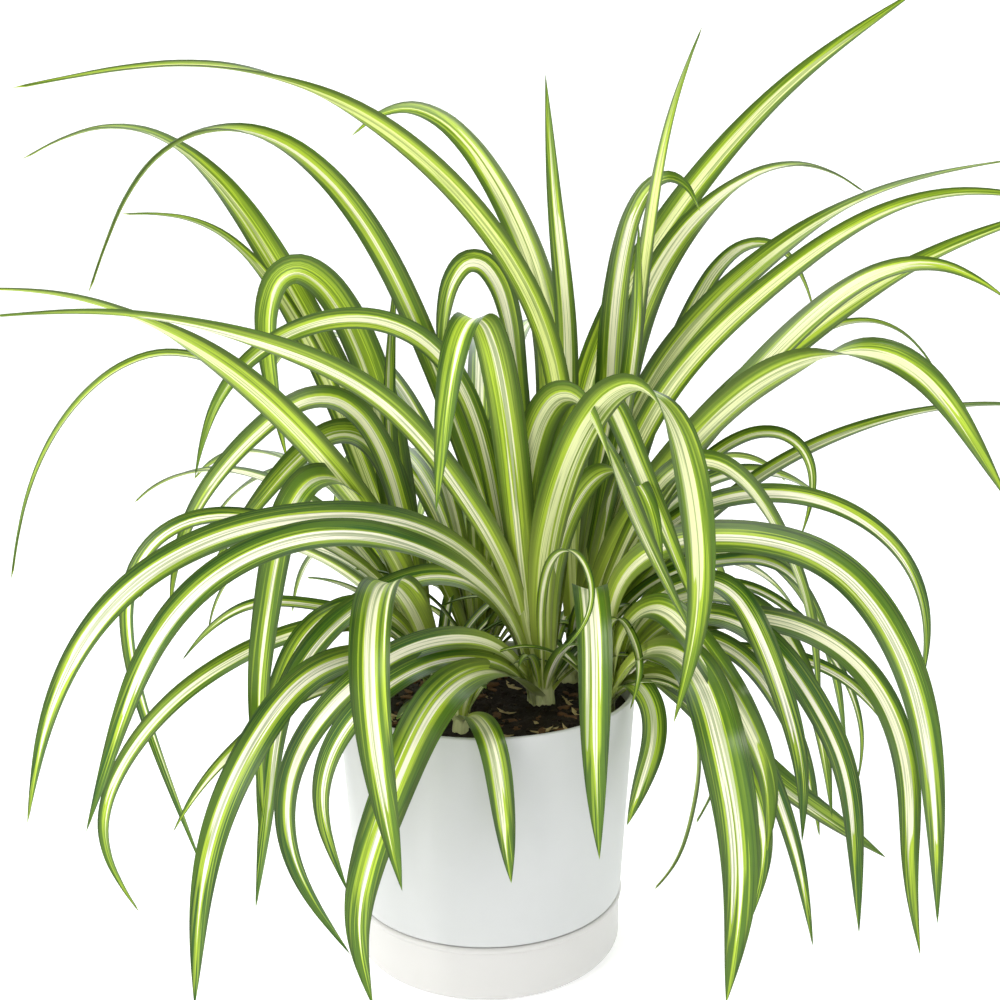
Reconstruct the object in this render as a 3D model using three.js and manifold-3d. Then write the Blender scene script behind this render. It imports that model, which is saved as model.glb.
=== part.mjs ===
// A spider plant of six crowns in a plain white pot that stands in its saucer.
// Millimetres, +Z up. The origin is the middle of the saucer's underside.
import * as THREE from "three";
import { mergeVertices } from "three/addons/utils/BufferGeometryUtils.js";
import Module from "manifold-3d";

const wasm = await Module();
wasm.setup();

// Pot and saucer.
const ROUND_SIDES = 32;
const RIM_RADIUS = 75;
const POT_TOP = 134.3;
const POT_WALL = 2.4;
const SHOULDER_RADIUS = 68.4;
const SHOULDER_HEIGHT = 29;
const FOOT_RADIUS = 63.8;
const FOOT_HEIGHT = 3.3;
const POT_FLOOR = 2.8;
const DRAIN_HOLES = 5;
const DRAIN_RADIUS = 4;
const DRAIN_RING = 38;
const SAUCER_RADIUS = 67.8;
const SAUCER_HEIGHT = 28.6;
const SAUCER_WALL = 2.2;
const SAUCER_FLOOR = 3;
const SAUCER_CORNER = 5;
const BEAD_RADIUS = 1.6;

// Soil and the gap kept between touching pieces.
const SOIL_TOP = 122;
const SOIL_MOUND = 3;
const SOIL_ROUGHNESS = 0.8;
const GAP = 0.35;

// Blades. Every path is sampled at PATH_STEPS + 1 points, and every second one carries a section.
const PATH_STEPS = 18;
const SECTION_STRIDE = 2;
const KEEL_SHARE = 0.24;
const KEEL_LEAST = 0.9;
const STUB_DEPTH = 9;
const STUB_HEIGHT = 22;
const ROOT_RISE = 7;
const TWIST_FROM = 0.5;
const TWIST_TO = 0.8;

// The eye that the traced paths are seen from, level with the upper blades.
const EYE = new THREE.Vector3(7.6, -580.4, 334.6);

const CROWNS = {
  centre: { x: 28, y: 0, radius: 9 },
  left: { x: -25, y: 20, radius: 8.5 },
  front: { x: -12, y: -38, radius: 5.5 },
  right_front: { x: 58, y: -10, radius: 8 },
  right_back: { x: 44, y: 38, radius: 8.5 },
  back: { x: -4, y: 46, radius: 8.5 },
};

// One row a blade: width, facing at the foot, facing at the tip, then points from foot to tip.
// A point is (x, z, depth): where its line of sight meets the upright plane through the pot's
// axis, and how far behind that plane it lies. A facing above 0 turns the upper side of the
// blade towards the eye, and one below 0 the underside.
const TRACED = {
  centre: [
    [13, -1.4, 0.5, [34, 200, 0], [38, 287, -5], [14, 346, -18], [-51, 411, -45],
      [-124, 436, -75], [-217, 424, -105]],
    [14, 2.2, 0.1, [8, 200, 0], [-17, 277, -8], [-60, 371, -20], [-107, 410, -32], [-155, 397, -45],
      [-188, 330, -58]],
    [18, 2, 1.2, [30, 200, 20], [32, 313, 34], [14, 367, 52], [-20, 414, 70], [-45, 418, 86],
      [-61, 401, 95]],
    [12, 1.5, 1, [36, 200, 4], [41, 300, 8], [34, 375, 14], [30, 429, 20]],
    [17, 0.5, 2, [21, 220, 5], [15, 305, 10], [7, 342, 8], [-5, 353, 3], [-16, 340, -4],
      [-20, 310, -8], [-21, 285, -8]],
    [17, -0.5, 1, [19, 190, -12], [11, 270, -40], [3, 312, -64], [-4, 328, -80], [-13, 308, -94],
      [-19, 270, -101], [-24, 222, -104]],
    [13, 1.5, 2, [10, 200, -5], [-5, 275, -14], [-26, 309, -20], [-60, 320, -26],
      [-100, 309, -32], [-130, 282, -36], [-142, 240, -38]],
    [14, -1.2, -0.2, [15, 186, -10], [-12, 235, -30], [-50, 281, -52], [-113, 309, -80],
      [-175, 322, -100], [-235, 320, -118]],
    [15, 1.2, 1.2, [12, 180, -12], [-25, 215, -40], [-85, 222, -75], [-150, 205, -102],
      [-195, 170, -118], [-224, 118, -128], [-238, 60, -132]],
    [15, 1.2, 1.2, [14, 172, -25], [-25, 203, -56], [-80, 214, -94], [-135, 193, -122],
      [-168, 157, -137], [-190, 105, -147], [-208, 55, -152]],
    [15, 1.2, 1.2, [12, 172, -8], [-5, 190, -12], [-25, 195, -8], [-50, 184, -16],
      [-78, 165, -46], [-103, 128, -70], [-113, 70, -80], [-122, 12, -84]],
    [13, 1.5, 1.5, [14, 150, -28], [-5, 160, -45], [-40, 154, -62], [-75, 128, -80],
      [-98, 98, -90], [-106, 62, -93], [-99, 28, -93], [-73, -15, -93]],
    [12, 1.5, 1.5, [10, 145, -35], [-20, 149, -58], [-55, 131, -77], [-80, 100, -87],
      [-87, 68, -90], [-73, 20, -90]],
    [20, 0.8, 0.8, [14, 141, -30], [-6, 142, -56], [-28, 122, -86], [-43, 90, -98],
      [-60, 45, -107], [-70, 0, -113], [-62, -45, -116]],
    [17, -1.2, 0, [18, 175, -10], [19, 230, -22], [28, 273, -40], [41, 289, -56], [54, 272, -68],
      [70, 230, -78], [87, 192, -86], [106, 155, -92]],
    [14, 0, 2, [30, 190, -5], [38, 260, -15], [52, 292, -28], [63, 277, -38], [76, 243, -46],
      [92, 208, -52], [108, 165, -56]],
    [19, -0.4, 2, [27, 185, -14], [38, 240, -38], [58, 280, -70], [78, 293, -93], [93, 272, -105],
      [104, 225, -113], [108, 172, -117], [95, 112, -119]],
    [14, -1, 0.5, [32, 185, -6], [40, 218, -16], [53, 241, -28], [67, 247, -42], [78, 234, -52],
      [85, 212, -58], [88, 190, -60]],
    [5, 0, 0, [28, 178, -32], [34, 201, -62], [45, 204, -86], [54, 185, -99], [51, 165, -103],
      [36, 149, -105]],
  ],
  left: [
    [19, 2.5, 0.1, [-45, 210, 30], [-62, 270, 50], [-93, 335, 68], [-121, 381, 82],
      [-149, 406, 88], [-180, 410, 92], [-215, 392, 92]],
    [12, 2, 0.3, [-50, 215, 32], [-75, 285, 44], [-101, 336, 54], [-125, 362, 60],
      [-150, 368, 66], [-170, 367, 70]],
    [20, 2, 2, [-42, 220, 20], [-50, 280, 34], [-72, 333, 46], [-90, 350, 52], [-103, 338, 54],
      [-103, 290, 50], [-96, 248, 46]],
    [16, -1.5, 0, [-38, 190, 5], [-60, 226, -15], [-95, 269, -40], [-130, 300, -62],
      [-165, 320, -78], [-205, 332, -90], [-238, 333, -100]],
    [8, 0.5, 0.5, [-33, 180, 8], [-80, 256, -12], [-125, 297, -30], [-152, 307, -38],
      [-195, 283, -48], [-225, 236, -54], [-236, 190, -56]],
    [15, 1.5, 1.5, [-36, 200, 8], [-52, 262, 2], [-74, 286, -5], [-105, 268, -15],
      [-135, 238, -25], [-152, 208, -30], [-158, 172, -34]],
    [17, 1.5, 1.5, [-35, 190, 14], [-48, 250, 10], [-66, 268, 5], [-92, 250, -2],
      [-118, 220, -10], [-136, 196, -14]],
    [9, 1.2, 1.2, [-38, 180, 20], [-46, 270, 24], [-44, 310, 26], [-41, 342, 28]],
    [11, 1.2, 1.2, [-45, 165, -5], [-90, 164, -30], [-125, 150, -48], [-160, 126, -58],
      [-190, 88, -64], [-202, 50, -66], [-183, 10, -68]],
    [10, 1, 1, [-42, 180, 10], [-85, 212, -10], [-130, 225, -25], [-160, 217, -34],
      [-178, 195, -40], [-180, 150, -46], [-168, 98, -50], [-148, 33, -54]],
    [15, 1, 1.5, [-38, 190, 10], [-58, 232, -10], [-82, 247, -38], [-97, 228, -56],
      [-107, 185, -68], [-116, 130, -76], [-116, 62, -80]],
    [19, 0, 0.5, [-29, 158, 0], [-38, 180, -28], [-50, 192, -64], [-57, 172, -97],
      [-59, 130, -114], [-55, 85, -119], [-45, 21, -121]],
    [15, 1.5, 1.5, [-45, 150, -20], [-90, 140, -77], [-122, 98, -107], [-140, 60, -114],
      [-151, 15, -124], [-157, -45, -130]],
    [8, 1, 1, [-50, 140, -10], [-95, 128, -30], [-125, 104, -45], [-148, 80, -52],
      [-163, 55, -55]],
    [8, 1, 1, [-50, 165, 8], [-85, 176, -2], [-118, 177, -12], [-140, 163, -16],
      [-153, 148, -18]],
    [14, 1.2, 1.3, [-40, 165, -5], [-66, 178, -25], [-92, 160, -42], [-108, 120, -52],
      [-115, 75, -56], [-117, 35, -58]],
  ],
  front: [
    [13, 0, 0, [-7, 118, -60], [1, 107, -81], [5, 90, -86], [8, 65, -87], [12, 25, -87]],
    [8, 0, 0, [-22, 124, -38], [-34, 126, -42], [-46, 116, -52]],
    [8, 0, 0, [-11, 128, -38], [-6, 142, -34], [4, 150, -28]],
  ],
  right_front: [
    [16, 0, 1.5, [55, 165, -26], [51, 188, -52], [53, 180, -76], [55, 150, -93], [55, 110, -98],
      [56, 70, -100], [58, 38, -100]],
    [6, 0, 0.5, [60, 160, -22], [66, 170, -36], [74, 158, -48], [78, 142, -52], [73, 120, -56]],
    [20, 1.5, 1.5, [75, 150, -40], [95, 152, -76], [110, 135, -106], [119, 105, -126],
      [128, 65, -140], [132, 20, -147], [126, -45, -152]],
    [16, 1.5, 1.5, [66, 160, -24], [82, 177, -40], [100, 163, -70], [118, 138, -98],
      [134, 110, -116], [146, 78, -122], [145, 42, -125]],
    [11, 1, 1, [76, 150, -22], [100, 150, -45], [125, 125, -70], [143, 88, -88], [158, 48, -98],
      [167, 10, -104], [171, -12, -106]],
    [14, 1, 1, [71, 137, -24], [83, 124, -38], [85, 104, -46], [79, 80, -51], [72, 57, -53]],
    [9, 0.5, 0.5, [85, 140, -10], [108, 122, -20], [119, 98, -24], [117, 77, -26],
      [108, 58, -28]],
    [10, 0.5, 0.5, [81, 145, 0], [101, 128, 6], [109, 98, 10], [107, 70, 12], [98, 35, 12],
      [87, 21, 12]],
    [18, 1.5, 1.5, [62, 190, -25], [90, 209, -42], [130, 209, -58], [170, 200, -75],
      [200, 167, -92], [219, 128, -105], [230, 70, -112], [236, 0, -116]],
    [13, 1.2, 1.2, [75, 172, -18], [100, 188, -32], [120, 188, -45], [138, 158, -62],
      [152, 122, -74], [162, 85, -82], [163, 47, -86]],
    [14, 1.5, 1.5, [80, 160, -12], [112, 172, -30], [140, 158, -48], [165, 125, -66],
      [184, 88, -80], [191, 40, -90], [195, -5, -95]],
    [14, 1.5, 1.5, [85, 158, -14], [120, 169, -28], [150, 166, -45], [182, 150, -65],
      [205, 120, -85], [217, 80, -100], [219, 30, -112], [228, -18, -120]],
    [19, 1, 1, [75, 146, -6], [95, 132, -12], [122, 106, -24], [155, 76, -36], [182, 56, -42],
      [207, 38, -46]],
    [13, 1.3, 1.3, [75, 165, -20], [105, 182, -20], [140, 172, -30], [160, 140, -40],
      [172, 100, -48], [178, 60, -50]],
    [13, 1.2, 1.2, [76, 152, -12], [100, 160, -16], [127, 150, -20], [150, 120, -24], [165, 85, -28],
      [172, 50, -30]],
    [13, 1.3, 1.3, [78, 140, -25], [106, 126, -60], [131, 88, -90], [144, 45, -104], [138, 4, -108]],
  ],
  right_back: [
    [11, 1.5, 1, [60, 210, 36], [72, 300, 36], [82, 379, 36], [90, 418, 38], [102, 449, 40]],
    [14, 1.5, 1.5, [55, 200, 30], [68, 270, 26], [74, 320, 24], [74, 360, 22]],
    [18, 2.5, 1.2, [42, 220, 46], [49, 285, 60], [68, 330, 75], [103, 382, 88], [147, 428, 98],
      [205, 467, 104]],
    [18, 1.5, 1, [60, 260, 46], [64, 330, 50], [73, 374, 50], [84, 388, 46], [97, 386, 42],
      [103, 366, 38]],
    [19, 2.5, 0.2, [62, 260, 44], [80, 333, 58], [104, 367, 70], [133, 388, 80], [160, 390, 86],
      [181, 374, 90]],
    [17, 2.2, 0.3, [60, 230, 34], [86, 294, 50], [124, 336, 68], [176, 372, 86], [222, 385, 98],
      [250, 389, 104]],
    [14, 2, 0.8, [64, 230, 24], [92, 288, 24], [140, 334, 24], [188, 367, 24], [223, 376, 24],
      [252, 374, 24], [284, 364, 24]],
    [17, 2, 0.8, [75, 222, 20], [120, 279, 16], [160, 312, 12], [196, 337, 8],
      [240, 357, 4], [280, 369, 0]],
    [17, 1.5, 1.2, [80, 223, 10], [116, 272, 0], [161, 320, -12], [195, 342, -20], [223, 342, -26],
      [251, 324, -32]],
    [20, -1, 1.8, [62, 200, 12], [100, 256, -8], [140, 291, -30], [185, 304, -50],
      [212, 291, -62], [238, 257, -70], [259, 224, -74]],
    [9, 1, 0.5, [90, 230, 48], [130, 285, 54], [174, 317, 60], [199, 314, 62], [214, 300, 64],
      [221, 286, 64]],
    [13, 1.5, 1, [75, 250, 60], [101, 322, 78], [122, 354, 92], [143, 354, 100], [154, 335, 104],
      [159, 318, 104]],
    [10, 1, 0.3, [85, 195, 44], [133, 239, 40], [175, 261, 38], [215, 272, 36],
      [252, 275, 34], [284, 271, 32]],
    [10, 1.2, 1.2, [72, 205, 28], [105, 245, 24], [135, 264, 20], [155, 258, 16], [163, 238, 14],
      [156, 208, 12]],
    [13, 1.2, 1.2, [62, 190, 10], [85, 238, -12], [106, 253, -28], [128, 240, -36],
      [148, 208, -30], [162, 175, -28], [170, 110, -28]],
    [12, 1.2, 1, [66, 185, 20], [95, 221, 8], [145, 232, -6], [185, 220, -16], [212, 195, -22],
      [223, 160, -26], [219, 125, -28]],
    [9, 1, 1, [80, 185, 24], [115, 197, 16], [145, 196, 8], [163, 176, 4], [168, 155, 2]],
    [7, 1, 1, [85, 180, 30], [130, 186, 20], [165, 160, 10], [185, 130, 2], [193, 100, -2],
      [190, 78, -4]],
    [9, 1, 1, [78, 155, 25], [115, 152, 10], [150, 149, 0], [180, 137, -10], [204, 112, -18],
      [214, 92, -22]],
    [13, 1.3, 1.2, [70, 190, 20], [100, 212, 25], [135, 205, 30], [160, 180, 34],
      [176, 140, 36], [184, 95, 36]],
  ],
  back: [],
};

// Blades that no sight line reaches spring by rule: crown, how many, first heading, last heading,
// shortest, longest and steepest start. Angles are in degrees, headings from +X towards +Y.
const SPRUNG = [
  ["back", 14, 35, 150, 190, 290, 78],
  ["back", 8, 50, 130, 290, 370, 88],
  ["left", 6, 120, 178, 190, 270, 78],
  ["right_back", 6, 5, 60, 190, 270, 78],
];

// Blades push each other aside along the line of sight until they pass clear.
const PUSH_ROUNDS = 80;
const SMOOTH_PASSES = 10;
const PUSH_SHARE = 0.6;
const REACH_MARGIN = 6;
const CLEAR_SHARE = 0.75;
const CLEAR_MARGIN = 2;
const FREE_FROM = 3;
const ROOT_EASE = 6;
const POT_CLEARANCE = 85;

// ---- small helpers

function numberStream(seed) {
  let state = seed;
  return () => {
    state = (state * 16807) % 2147483647;
    return state / 2147483647;
  };
}

function sightScale(depth) {
  return 1 - depth / EYE.y;
}

// Sight space holds (x, depth, z) with x and z on the plane through the pot's axis.
function toSight(point) {
  const scale = sightScale(point.y);
  const x = EYE.x + (point.x - EYE.x) / scale;
  const z = EYE.z + (point.z - EYE.z) / scale;
  return new THREE.Vector3(x, point.y, z);
}

function fromSight(point) {
  const scale = sightScale(point.y);
  const x = EYE.x + (point.x - EYE.x) * scale;
  const z = EYE.z + (point.z - EYE.z) * scale;
  return new THREE.Vector3(x, point.y, z);
}

// A closed solid from a geometry, with its shared corners merged.
function solidOf(geometry) {
  const bare = geometry.index ? geometry.toNonIndexed() : geometry.clone();
  bare.deleteAttribute("normal");
  bare.deleteAttribute("uv");
  const merged = mergeVertices(bare, 1e-4);
  const vertProperties = new Float32Array(merged.attributes.position.array);
  const triVerts = new Uint32Array(merged.index.array);
  const mesh = new wasm.Mesh({ numProp: 3, vertProperties, triVerts });
  return new wasm.Manifold(mesh);
}

// The geometry of a solid's main shell: sealed hollows are filled and loose scraps dropped.
function mainShell(solid) {
  const mesh = solid.getMesh();
  const count = mesh.vertProperties.length / 3;
  const parent = Array.from({ length: count }, (_, i) => i);
  const find = (i) => {
    while (parent[i] !== i) {
      parent[i] = parent[parent[i]];
      i = parent[i];
    }
    return i;
  };
  const triangles = mesh.triVerts;
  for (let t = 0; t < triangles.length; t += 3) {
    parent[find(triangles[t])] = find(triangles[t + 1]);
    parent[find(triangles[t + 1])] = find(triangles[t + 2]);
  }
  const volumes = new Map();
  const corner = (i) => new THREE.Vector3().fromArray(mesh.vertProperties, i * 3);
  for (let t = 0; t < triangles.length; t += 3) {
    const shell = find(triangles[t]);
    const a = corner(triangles[t]);
    const b = corner(triangles[t + 1]);
    const c = corner(triangles[t + 2]);
    volumes.set(shell, (volumes.get(shell) ?? 0) + a.dot(b.cross(c)));
  }
  const [main] = [...volumes].reduce((best, entry) => (entry[1] > best[1] ? entry : best));
  const index = [];
  for (let t = 0; t < triangles.length; t += 3) {
    if (find(triangles[t]) === main) {
      index.push(triangles[t], triangles[t + 1], triangles[t + 2]);
    }
  }
  const geometry = new THREE.BufferGeometry();
  geometry.setAttribute("position", new THREE.BufferAttribute(new Float32Array(mesh.vertProperties), 3));
  geometry.setIndex(index);
  return geometry;
}

// A turned shape about +Z from (radius, height) pairs that run up the outside.
function turned(pairs, sides = ROUND_SIDES) {
  const profile = pairs.map(([radius, height]) => new THREE.Vector2(radius, height));
  const geometry = new THREE.LatheGeometry(profile, sides);
  geometry.rotateX(Math.PI / 2);
  return geometry;
}

// ---- pot, saucer and soil

function outerRadius(height) {
  const rise = (height - SHOULDER_HEIGHT) / (POT_TOP - SHOULDER_HEIGHT);
  return SHOULDER_RADIUS + rise * (RIM_RADIUS - SHOULDER_RADIUS);
}

function innerRadius(height) {
  return outerRadius(height) - POT_WALL;
}

function makePot() {
  const neck = FOOT_RADIUS + 1;
  const rimInside = innerRadius(POT_TOP);
  const floor = FOOT_HEIGHT + POT_FLOOR;
  const body = solidOf(turned([
    [0, FOOT_HEIGHT],
    [FOOT_RADIUS - 2, FOOT_HEIGHT],
    [FOOT_RADIUS, FOOT_HEIGHT + 2],
    [neck, SHOULDER_HEIGHT],
    [SHOULDER_RADIUS, SHOULDER_HEIGHT],
    [outerRadius(POT_TOP - 0.8), POT_TOP - 0.8],
    [RIM_RADIUS - 0.7, POT_TOP],
    [rimInside + 0.6, POT_TOP],
    [rimInside, POT_TOP - 0.8],
    [innerRadius(SHOULDER_HEIGHT + 5), SHOULDER_HEIGHT + 5],
    [neck - POT_WALL, SHOULDER_HEIGHT],
    [FOOT_RADIUS - POT_WALL, floor],
    [0, floor],
  ]));
  let pot = body;
  for (let i = 0; i < DRAIN_HOLES; i += 1) {
    const turn = (i / DRAIN_HOLES) * 2 * Math.PI;
    const hole = new THREE.CylinderGeometry(DRAIN_RADIUS, DRAIN_RADIUS, 4 * POT_FLOOR, 12);
    hole.rotateX(Math.PI / 2);
    hole.translate(DRAIN_RING * Math.cos(turn), DRAIN_RING * Math.sin(turn), FOOT_HEIGHT);
    pot = pot.subtract(solidOf(hole));
  }
  return pot;
}

function makeSaucer() {
  const inside = SAUCER_RADIUS - SAUCER_WALL;
  const pairs = [[0, 0], [SAUCER_RADIUS - SAUCER_CORNER, 0]];
  for (let i = 1; i <= 3; i += 1) {
    const turn = (i / 3) * (Math.PI / 2);
    const radius = SAUCER_RADIUS - SAUCER_CORNER * (1 - Math.sin(turn));
    pairs.push([radius, SAUCER_CORNER * (1 - Math.cos(turn))]);
  }
  const beadMiddle = SAUCER_HEIGHT - BEAD_RADIUS;
  for (let i = 0; i <= 4; i += 1) {
    const turn = (i / 4 - 0.5) * Math.PI;
    const radius = SAUCER_RADIUS - 0.4 + BEAD_RADIUS * Math.cos(turn);
    pairs.push([radius, beadMiddle + BEAD_RADIUS * Math.sin(turn)]);
  }
  pairs.push([inside, SAUCER_HEIGHT - 0.6], [inside - 0.6, SAUCER_FLOOR + 2]);
  pairs.push([inside - 2.6, SAUCER_FLOOR], [0, SAUCER_FLOOR]);
  return solidOf(turned(pairs));
}

// The top of the soil at a plan position: a low mound with small clods.
function soilHeight(x, y) {
  const out = Math.hypot(x, y) / innerRadius(SOIL_TOP);
  const clods = Math.sin(x * 0.31 + 1.3) * Math.cos(y * 0.27) + 0.6 * Math.sin(x * 0.13 - y * 0.41);
  return SOIL_TOP + SOIL_MOUND * (1 - out * out) + SOIL_ROUGHNESS * clods * (1 - out);
}

function makeSoil() {
  const bottom = FOOT_HEIGHT + POT_FLOOR + GAP;
  const neck = FOOT_RADIUS + 1 - POT_WALL;
  const bend = SHOULDER_HEIGHT + 5;
  const pairs = [
    [0, bottom],
    [FOOT_RADIUS - POT_WALL - GAP, bottom],
    [neck - GAP, SHOULDER_HEIGHT + GAP],
    [innerRadius(bend) - GAP, bend + GAP],
    [innerRadius(SOIL_TOP) - GAP, SOIL_TOP],
  ];
  for (const share of [0.75, 0.5, 0.25, 0]) {
    pairs.push([innerRadius(SOIL_TOP) * share, SOIL_TOP + 1]);
  }
  const geometry = turned(pairs);
  const place = geometry.attributes.position;
  for (let i = 0; i < place.count; i += 1) {
    if (place.getZ(i) > SOIL_TOP + 0.5) {
      place.setZ(i, soilHeight(place.getX(i), place.getY(i)));
    }
  }
  let soil = solidOf(geometry);
  for (const crown of Object.values(CROWNS)) {
    const hole = new THREE.CylinderGeometry(crown.radius + GAP, crown.radius + GAP, 40, 14);
    hole.rotateX(Math.PI / 2);
    hole.translate(crown.x, crown.y, crownBase(crown) - GAP + 20);
    soil = soil.subtract(solidOf(hole));
  }
  return soil;
}

// ---- crowns and blades

function crownBase(crown) {
  return soilHeight(crown.x, crown.y) - STUB_DEPTH;
}

// The short thick stem at soil level that the blades of one crown wrap.
function makeStub(crown) {
  const low = crownBase(crown);
  const level = low + STUB_DEPTH;
  const geometry = turned([
    [0, low],
    [crown.radius * 0.8, low],
    [crown.radius * 0.95, low + 2],
    [crown.radius * 0.95, level],
    [crown.radius * 0.9, level + STUB_HEIGHT * 0.45],
    [crown.radius * 0.6, level + STUB_HEIGHT * 0.85],
    [0, level + STUB_HEIGHT],
  ], 10);
  geometry.translate(crown.x, crown.y, 0);
  return solidOf(geometry);
}

function rootOf(crown, heading) {
  const offset = crown.radius * 0.6;
  const height = crownBase(crown) + STUB_DEPTH + ROOT_RISE;
  return new THREE.Vector3(crown.x + offset * heading.x, crown.y + offset * heading.y, height);
}

function planHeading(from, to) {
  return new THREE.Vector3(to.x - from.x, to.y - from.y, 0).normalize();
}

// Evens a path: each inner point moves towards the middle of its neighbours.
function evened(points, passes) {
  let path = points;
  for (let pass = 0; pass < passes; pass += 1) {
    path = path.map((point, i) => {
      if (i === 0 || i === path.length - 1) {
        return point.clone();
      }
      const middle = path[i - 1].clone().add(path[i + 1]).multiplyScalar(0.25);
      return middle.addScaledVector(point, 0.5);
    });
  }
  return path;
}

function tracedBlade(name, row) {
  const crown = CROWNS[name];
  const [width, facing, tipFacing, ...places] = row;
  const points = places.map(([x, z, depth]) => new THREE.Vector3(x, depth, z));
  const solidPoints = points.map(fromSight);
  const middle = solidPoints.reduce((sum, p) => sum.add(p), new THREE.Vector3());
  middle.divideScalar(points.length);
  const heading = planHeading(crown, middle);
  const curve = new THREE.CatmullRomCurve3([toSight(rootOf(crown, heading)), ...points]);
  const path = evened(curve.getSpacedPoints(PATH_STEPS), 2);
  return { name, width, facing, tipFacing, heading, path };
}

// A sprung blade starts steeply and bends over under its own weight: its slope falls from a
// first to a last angle, slowly near the foot and faster further out.
function sprungBlade(name, turn, length, steepest, random) {
  const crown = CROWNS[name];
  const heading = new THREE.Vector3(Math.cos(turn), Math.sin(turn), 0);
  const firstSlope = THREE.MathUtils.degToRad(steepest - 16 * random());
  const lastSlope = THREE.MathUtils.degToRad(-35 - 45 * random());
  const bend = 0.9 + 0.5 * random();
  const width = 10 + 6 * random();
  const point = rootOf(crown, heading);
  const path = [point.clone()];
  const step = length / PATH_STEPS;
  for (let i = 0; i < PATH_STEPS; i += 1) {
    const share = (i + 0.5) / PATH_STEPS;
    const slope = firstSlope + (lastSlope - firstSlope) * share ** bend;
    point.addScaledVector(heading, step * Math.cos(slope));
    point.z += step * Math.sin(slope);
    path.push(point.clone());
  }
  const facing = 2 * (random() - 0.5);
  return { name, width, facing, tipFacing: facing, heading, path: path.map(toSight) };
}

function allBlades() {
  const blades = [];
  for (const [name, rows] of Object.entries(TRACED)) {
    for (const row of rows) {
      blades.push(tracedBlade(name, row));
    }
  }
  const random = numberStream(215);
  for (const [name, count, first, last, shortest, longest, steepest] of SPRUNG) {
    for (let i = 0; i < count; i += 1) {
      const share = (i * 0.618034 + 0.5) % 1;
      const turn = THREE.MathUtils.degToRad(first + (last - first) * share);
      const length = shortest + (longest - shortest) * random();
      blades.push(sprungBlade(name, turn, length, steepest, random));
    }
  }
  return blades;
}

// Width of a blade along its length as a share of its widest: waisted at the foot, drawn out
// to a long point.
function widthShare(share) {
  const foot = THREE.MathUtils.smoothstep(share, 0, 0.3);
  return (0.5 + 0.5 * foot) * (1 - share ** 4.6);
}

// Each pair of points of two blades that pass closely in sight must differ in depth.
function closePairs(blades) {
  const pairs = [];
  blades.forEach((one, i) => {
    for (let j = i + 1; j < blades.length; j += 1) {
      const other = blades[j];
      const start = one.name === other.name ? FREE_FROM + 2 : 2;
      for (let k = start; k <= PATH_STEPS; k += 1) {
        const halfOne = 0.5 * one.width * widthShare(k / PATH_STEPS);
        for (let m = start; m <= PATH_STEPS; m += 1) {
          const halves = halfOne + 0.5 * other.width * widthShare(m / PATH_STEPS);
          const dx = one.path[k].x - other.path[m].x;
          const dz = one.path[k].z - other.path[m].z;
          if (Math.hypot(dx, dz) < halves + REACH_MARGIN) {
            pairs.push([i, k, j, m, CLEAR_SHARE * halves + CLEAR_MARGIN]);
          }
        }
      }
    }
  });
  return pairs;
}

function pushApart(blades) {
  const pairs = closePairs(blades);
  for (let round = 0; round < PUSH_ROUNDS; round += 1) {
    const back = blades.map(() => new Float64Array(PATH_STEPS + 1));
    const fore = blades.map(() => new Float64Array(PATH_STEPS + 1));
    for (const [i, k, j, m, clear] of pairs) {
      const difference = blades[i].path[k].y - blades[j].path[m].y;
      const missing = clear - Math.abs(difference);
      if (missing > 0) {
        const [rear, r, near, n] = difference > 0 ? [i, k, j, m] : [j, m, i, k];
        back[rear][r] = Math.max(back[rear][r], missing);
        fore[near][n] = Math.max(fore[near][n], missing);
      }
    }
    blades.forEach((blade, i) => {
      let move = blade.path.map((point, k) => {
        const solid = fromSight(point);
        const room = POT_CLEARANCE ** 2 - solid.x ** 2;
        if (k >= PATH_STEPS / 3 && solid.z < POT_TOP + 4 && room > solid.y ** 2) {
          return Math.sign(solid.y) * Math.sqrt(room) - solid.y;
        }
        return 0.5 * PUSH_SHARE * (back[i][k] - fore[i][k]);
      });
      for (let pass = 0; pass < SMOOTH_PASSES; pass += 1) {
        move = move.map((value, k) => {
          const before = move[Math.max(k - 1, 0)];
          const after = move[Math.min(k + 1, PATH_STEPS)];
          return 0.25 * before + 0.5 * value + 0.25 * after;
        });
      }
      blade.path.forEach((point, k) => {
        point.y += move[k] * Math.min(1, k / ROOT_EASE) ** 2;
      });
    });
  }
}

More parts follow.
